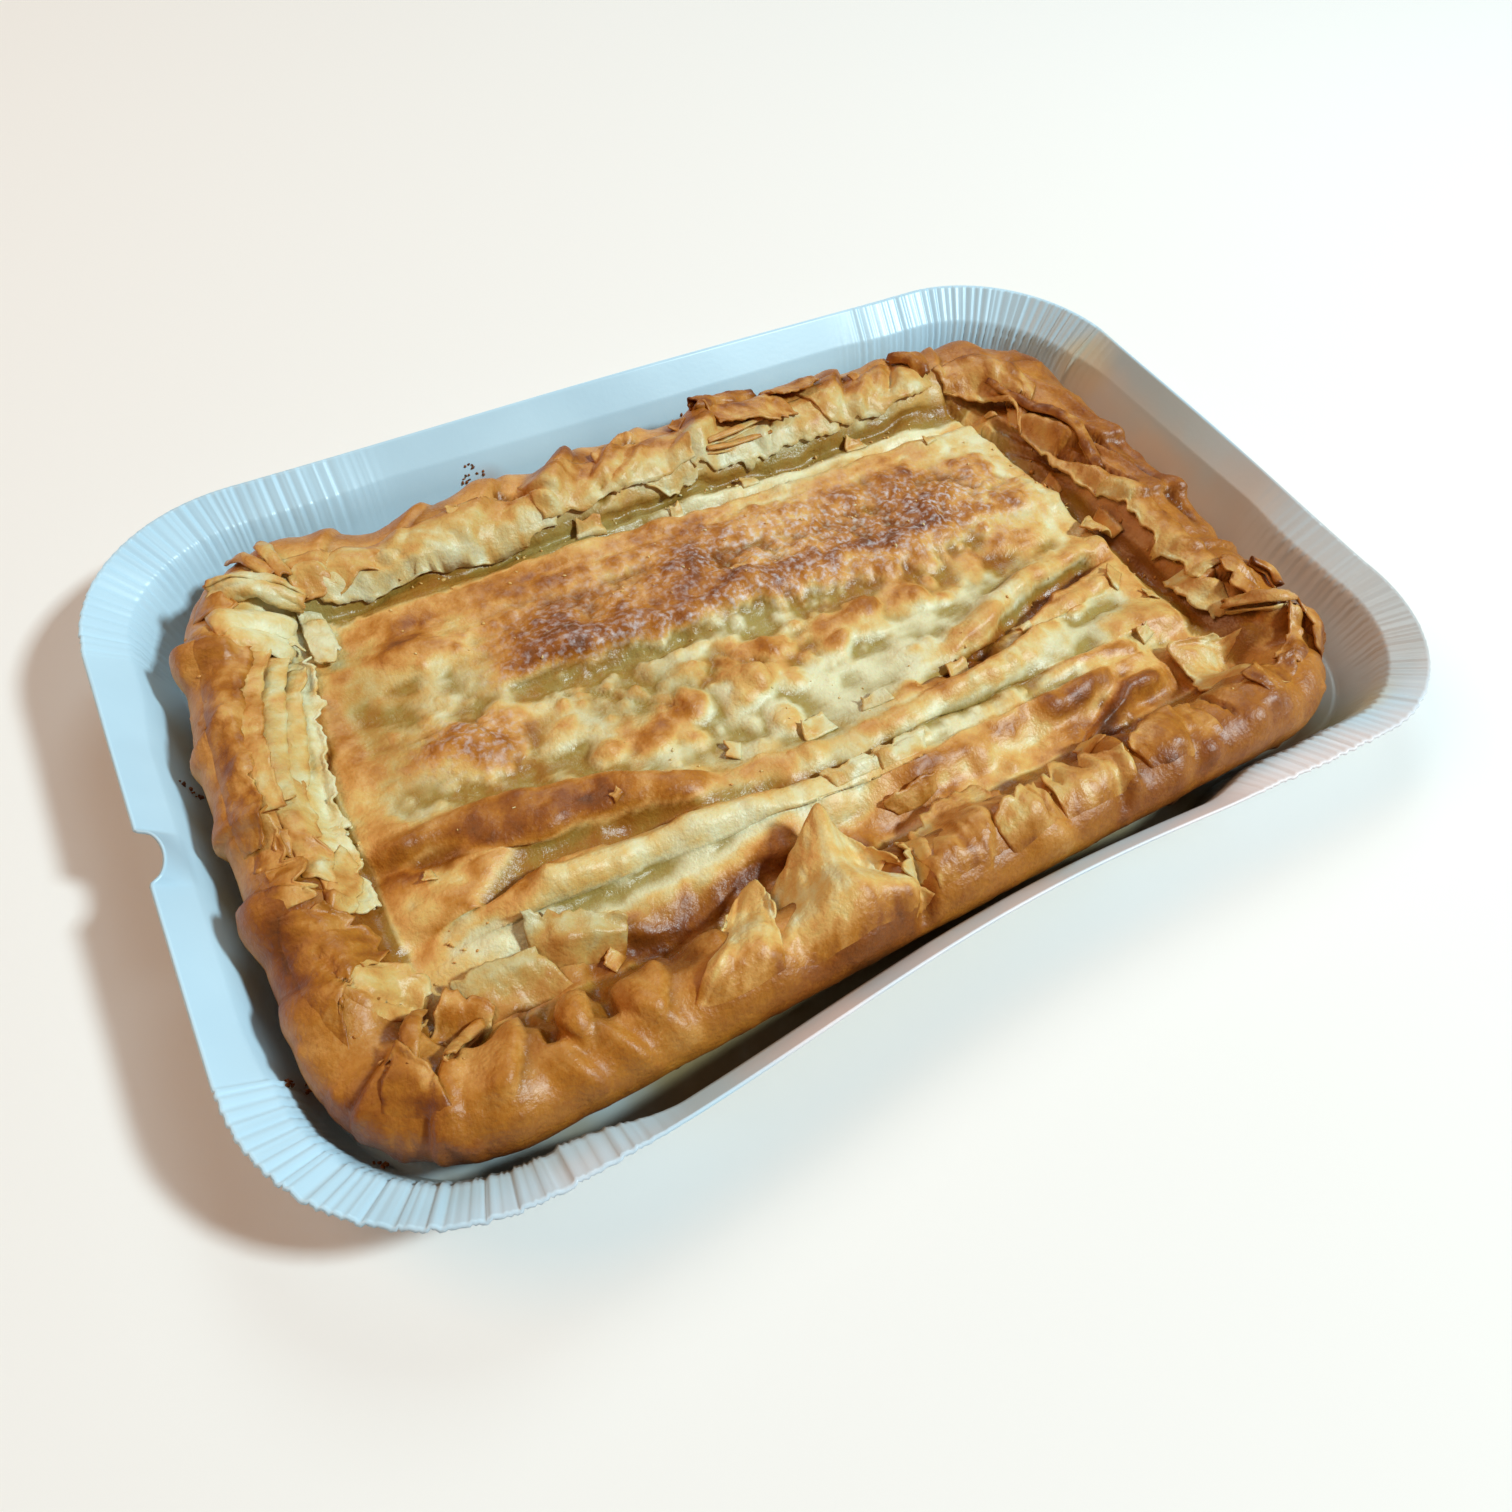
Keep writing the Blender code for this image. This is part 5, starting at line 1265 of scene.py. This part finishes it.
def new_material(name):
    """A material, its node tree and a function that adds a node and gives an output of it."""
    material = bpy.data.materials.new(name)
    material.use_nodes = True
    tree = material.node_tree

    def make(kind, values, output=0, **settings):
        node = tree.nodes.new("ShaderNode" + kind)
        for key, value in settings.items():
            setattr(node, key, value)
        fill(tree, node, values)
        return node.outputs[output]

    return material, tree, make


def ramp_of(tree, value, stops):
    """A colour ramp of the given stops, read at a value."""
    node = tree.nodes.new("ShaderNodeValToRGB")
    ramp = node.color_ramp
    while len(ramp.elements) > 1:
        ramp.elements.remove(ramp.elements[-1])
    ramp.elements[0].position = stops[0][0]
    ramp.elements[0].color = (*stops[0][1], 1.0)
    for place, colour in stops[1:]:
        ramp.elements.new(place).color = (*colour, 1.0)
    fill(tree, node, {"Fac": value})
    return node.outputs["Color"]


# Colours of the dough from pale to dark brown
DOUGH_STOPS = (
    (0.00, (0.80, 0.73, 0.46)),
    (0.14, (0.77, 0.60, 0.28)),
    (0.28, (0.75, 0.46, 0.14)),
    (0.42, (0.69, 0.33, 0.085)),
    (0.58, (0.50, 0.18, 0.018)),
    (0.78, (0.29, 0.078, 0.007)),
    (1.00, (0.12, 0.033, 0.007)),
)


# Painted glints that lighten the fine grain of the crust, and what darkens oily dough and paints shade
# into its hollows
GLINT_TINT = (0.76, 0.74, 0.78, 1.0)
OIL_AND_SHADE_TINT = (0.48, 0.37, 0.16, 1.0)


def dough_material(name):
    """Baked dough: colour by how well it is baked, oily darkening that also paints shade into hollows,
    an oily sheen, and a fine grain lit with painted glints.
    """
    material, tree, make = new_material(name)
    place = make("TexCoord", {}, "Object")
    browning, grain, oil_and_shade = (make("Attribute", {}, "Fac", attribute_name=key)
                            for key in DOUGH_LAYERS)
    blotch = make("TexNoise", {"Vector": place, "Scale": 160.0, "Detail": 6.0, "Roughness": 0.62})
    speck = make("TexNoise", {"Vector": place, "Scale": 900.0, "Detail": 3.0})
    shift = make("Math", {0: blotch, 1: 0.34, 2: -0.17}, operation="MULTIPLY_ADD")
    fleck = make("Math", {0: speck, 1: 0.16, 2: -0.08}, operation="MULTIPLY_ADD")
    shifted = make("Math", {0: browning, 1: shift}, operation="ADD")
    total = make("Math", {0: shifted, 1: fleck}, operation="ADD")
    colour = ramp_of(tree, total, DOUGH_STOPS)
    # Painted glints: pale specks over the grainy crust
    glint_noise = make("TexNoise", {"Vector": place, "Scale": 620.0, "Detail": 4.0})
    glint_spots = make("MapRange", {"Value": glint_noise, "From Min": 0.47, "From Max": 0.72,
                               "To Max": 0.72})
    glint_amount = make("Math", {0: glint_spots, 1: grain}, operation="MULTIPLY")
    glinted = make("MixRGB", {"Fac": glint_amount, "Color1": colour, "Color2": GLINT_TINT})
    # The oil layer darkens oily dough and, in the hollows, paints shade
    oiled_and_shaded = make("MixRGB", {"Fac": oil_and_shade, "Color1": glinted, "Color2": OIL_AND_SHADE_TINT},
                  blend_type="MULTIPLY")
    gloss = make("MapRange", {"Value": blotch, "To Min": 0.26, "To Max": 0.58})
    damp = make("Math", {0: oil_and_shade, 1: -0.14, 2: gloss}, operation="MULTIPLY_ADD")
    coarse = make("Bump", {"Distance": 0.0006, "Strength": 0.8, "Height": blotch})
    fine = make("Bump", {"Distance": 0.00032, "Strength": 0.9, "Height": speck, "Normal": coarse})
    fill(tree, tree.nodes["Principled BSDF"], {
        "Base Color": oiled_and_shaded, "Roughness": damp, "Normal": fine, "Specular IOR Level": 0.34,
        "Coat Weight": 0.16, "Coat Roughness": 0.34, "Subsurface Weight": 0.12,
        "Subsurface Radius": (0.004, 0.002, 0.001)})
    return material


# Grease and baked stains on the tray, and patches of painted shade and warm bounce light on its front
# and right: centre and reach in millimetres, colour, strength
STAINS_AND_PAINTED_SHADE = (
    ((162, 60, 20), (17, 12, 14), (0.72, 0.58, 0.24), 0.50),
    ((128, -98, 12), (18, 9, 14), (0.76, 0.64, 0.30), 0.60),
    # Painted warm reflection of the pie and shade on the front floor, with some grease
    ((0, -101, 0), (290, 30, 24), (0.34, 0.24, 0.09), 0.95),
    # Painted warm shade and bounce light on the right floor
    ((152, -6, 2), (28, 120, 26), (0.86, 0.70, 0.57), 0.80),
    # Painted shade on the front-right flange
    ((160, -66, 24), (40, 74, 30), (0.60, 0.55, 0.52), 0.80),
    # Painted warm tone of the front flange where it lies in shade
    ((50, -113, 27), (190, 18, 18), (0.90, 0.80, 0.80), 1.0),
    ((-60, -103, 2), (26, 7, 8), (0.34, 0.26, 0.14), 0.50),
    ((-161, 64, 4), (4, 7, 8), (0.36, 0.20, 0.12), 0.45),
    ((-161, -36, 5), (3, 9, 8), (0.40, 0.22, 0.12), 0.50),
    ((-157, -63, 6), (4, 8, 9), (0.40, 0.22, 0.12), 0.50),
    ((-50, 100, 12), (9, 7, 9), (0.40, 0.22, 0.14), 0.40),
)


BOARD_STOPS = ((0.30, (0.49, 0.67, 0.79)), (0.70, (0.56, 0.75, 0.87)))


def stain_or_shade_patch(make, place, uneven, tone, centre, reach, tint, strength):
    """Mix one soft stain or patch of painted shade, with an uneven outline, into the board's colour."""
    moved = make("VectorMath", {0: place, 1: [c * MM for c in centre]}, operation="SUBTRACT")
    scaled = make("VectorMath", {0: moved, 1: [r * MM for r in reach]}, operation="DIVIDE")
    far = make("VectorMath", {0: scaled}, "Value", operation="LENGTH")
    ragged = make("Math", {0: uneven, 1: 1.2, 2: far}, operation="MULTIPLY_ADD")
    mask = make("MapRange", {"Value": ragged, "From Min": 0.9, "From Max": 1.7,
                             "To Min": strength, "To Max": 0.0},
                interpolation_type="SMOOTHSTEP")
    return make("MixRGB", {"Fac": mask, "Color1": tone, "Color2": (*tint, 1.0)})


def board_material():
    """White coated paperboard with a faint fibre grain, grease and baked stains, and painted shade on
    its front and right.
    """
    material, tree, make = new_material("coated_board")
    place = make("TexCoord", {}, "Object")
    fibre = make("TexNoise", {"Vector": place, "Scale": 700.0, "Detail": 4.0})
    mottle = make("TexNoise", {"Vector": place, "Scale": 26.0, "Detail": 3.0})
    tone = ramp_of(tree, mottle, BOARD_STOPS)
    for stain_or_shade in STAINS_AND_PAINTED_SHADE:
        tone = stain_or_shade_patch(make, place, mottle, tone, *stain_or_shade)
    gloss = make("MapRange", {"Value": mottle, "To Min": 0.26, "To Max": 0.42})
    bump = make("Bump", {"Distance": 0.00004, "Strength": 0.5, "Height": fibre})
    fill(tree, tree.nodes["Principled BSDF"],
         {"Base Color": tone, "Roughness": gloss, "Normal": bump})
    return material


def stage_floor():
    """A plain pale floor under the tray."""
    bm = bmesh.new()
    bmesh.ops.create_grid(bm, x_segments=1, y_segments=1, size=FLOOR_REACH)
    material, tree, _ = new_material("pale_floor")
    fill(tree, tree.nodes["Principled BSDF"],
         {"Base Color": (0.93, 0.88, 0.85, 1.0), "Roughness": 0.9, "Specular IOR Level": 0.1})
    add_piece("floor", bm, material)


# Camera: where it stands in metres, its axes as rows right, down and forward
CAMERA_AT = (-0.13022767, -0.16914869, 0.22922502)
CAMERA_RIGHT = (0.85644965, -0.51124874, 0.07154521)
CAMERA_DOWN = (-0.36910802, -0.70334908, -0.60750255)
CAMERA_FORWARD = (0.36090617, 0.49388743, -0.79108908)
CAMERA_LENS = 25.01


def add_camera():
    """The photograph's view."""
    camera = bpy.data.cameras.new("camera")
    camera.lens = CAMERA_LENS
    camera.sensor_width = 36.0
    camera.clip_start = 0.01
    holder = bpy.data.objects.new("camera", camera)
    right = Vector(CAMERA_RIGHT)
    up = -Vector(CAMERA_DOWN)
    back = -Vector(CAMERA_FORWARD)
    turn = Matrix((right, up, back)).transposed().to_4x4()
    holder.matrix_world = Matrix.Translation(CAMERA_AT) @ turn
    bpy.context.scene.collection.objects.link(holder)
    bpy.context.scene.camera = holder


def add_light(name, towards, distance, size, power, colour):
    """A soft square light that shines at the pie from the given direction."""
    light = bpy.data.lights.new(name, "AREA")
    light.size = size
    light.energy = power
    light.color = colour
    holder = bpy.data.objects.new(name, light)
    way = Vector(towards).normalized()
    holder.location = way * distance
    holder.rotation_euler = way.to_track_quat("Z", "Y").to_euler()
    bpy.context.scene.collection.objects.link(holder)


# Lights: name, direction, distance and size in metres, power, colour
LIGHTS = (
    ("window", (0.64, -0.52, 0.86), 2.2, 0.26, 47.0, (0.74, 0.94, 1.0)),
    ("sky", (0.36, 0.62, 0.78), 2.0, 0.8, 9.0, (0.66, 0.92, 1.0)),
    ("room_side", (-0.60, 0.42, 0.80), 2.0, 1.0, 12.0, (1.0, 0.60, 0.34)),
)
ROOM_COLOUR = (1.0, 0.80, 0.66, 1.0)
ROOM_STRENGTH = 0.17


def add_lights():
    """A cool window light from the front right, a soft sky and a warm room behind it."""
    for light in LIGHTS:
        add_light(*light)
    world = bpy.data.worlds.new("room")
    world.use_nodes = True
    tree = world.node_tree
    fill(tree, tree.nodes["Background"], {"Color": ROOM_COLOUR, "Strength": ROOM_STRENGTH})
    bpy.context.scene.world = world
    bpy.context.scene.view_settings.view_transform = "Standard"


def main():
    """Build the stage, the materials and all the pieces."""
    add_camera()
    add_lights()
    stage_floor()
    crust_skin = dough_material("crust_skin")
    board = board_material()
    body, crust = pie_body(crust_skin)
    tray, tray_inside = paper_tray(board)
    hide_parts("pie")
    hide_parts("tray")
    pieces = [body]
    for name in SHEETS:
        pieces.append(torn_piece(name, crust, crust_skin))
    pieces.append(small_flakes("loose_flakes", crust, crust_skin))
    pieces.append(crumbs("crumbs", crust, tray_inside, crust_skin))
    for piece in pieces + [tray]:
        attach(piece, "root")


main()
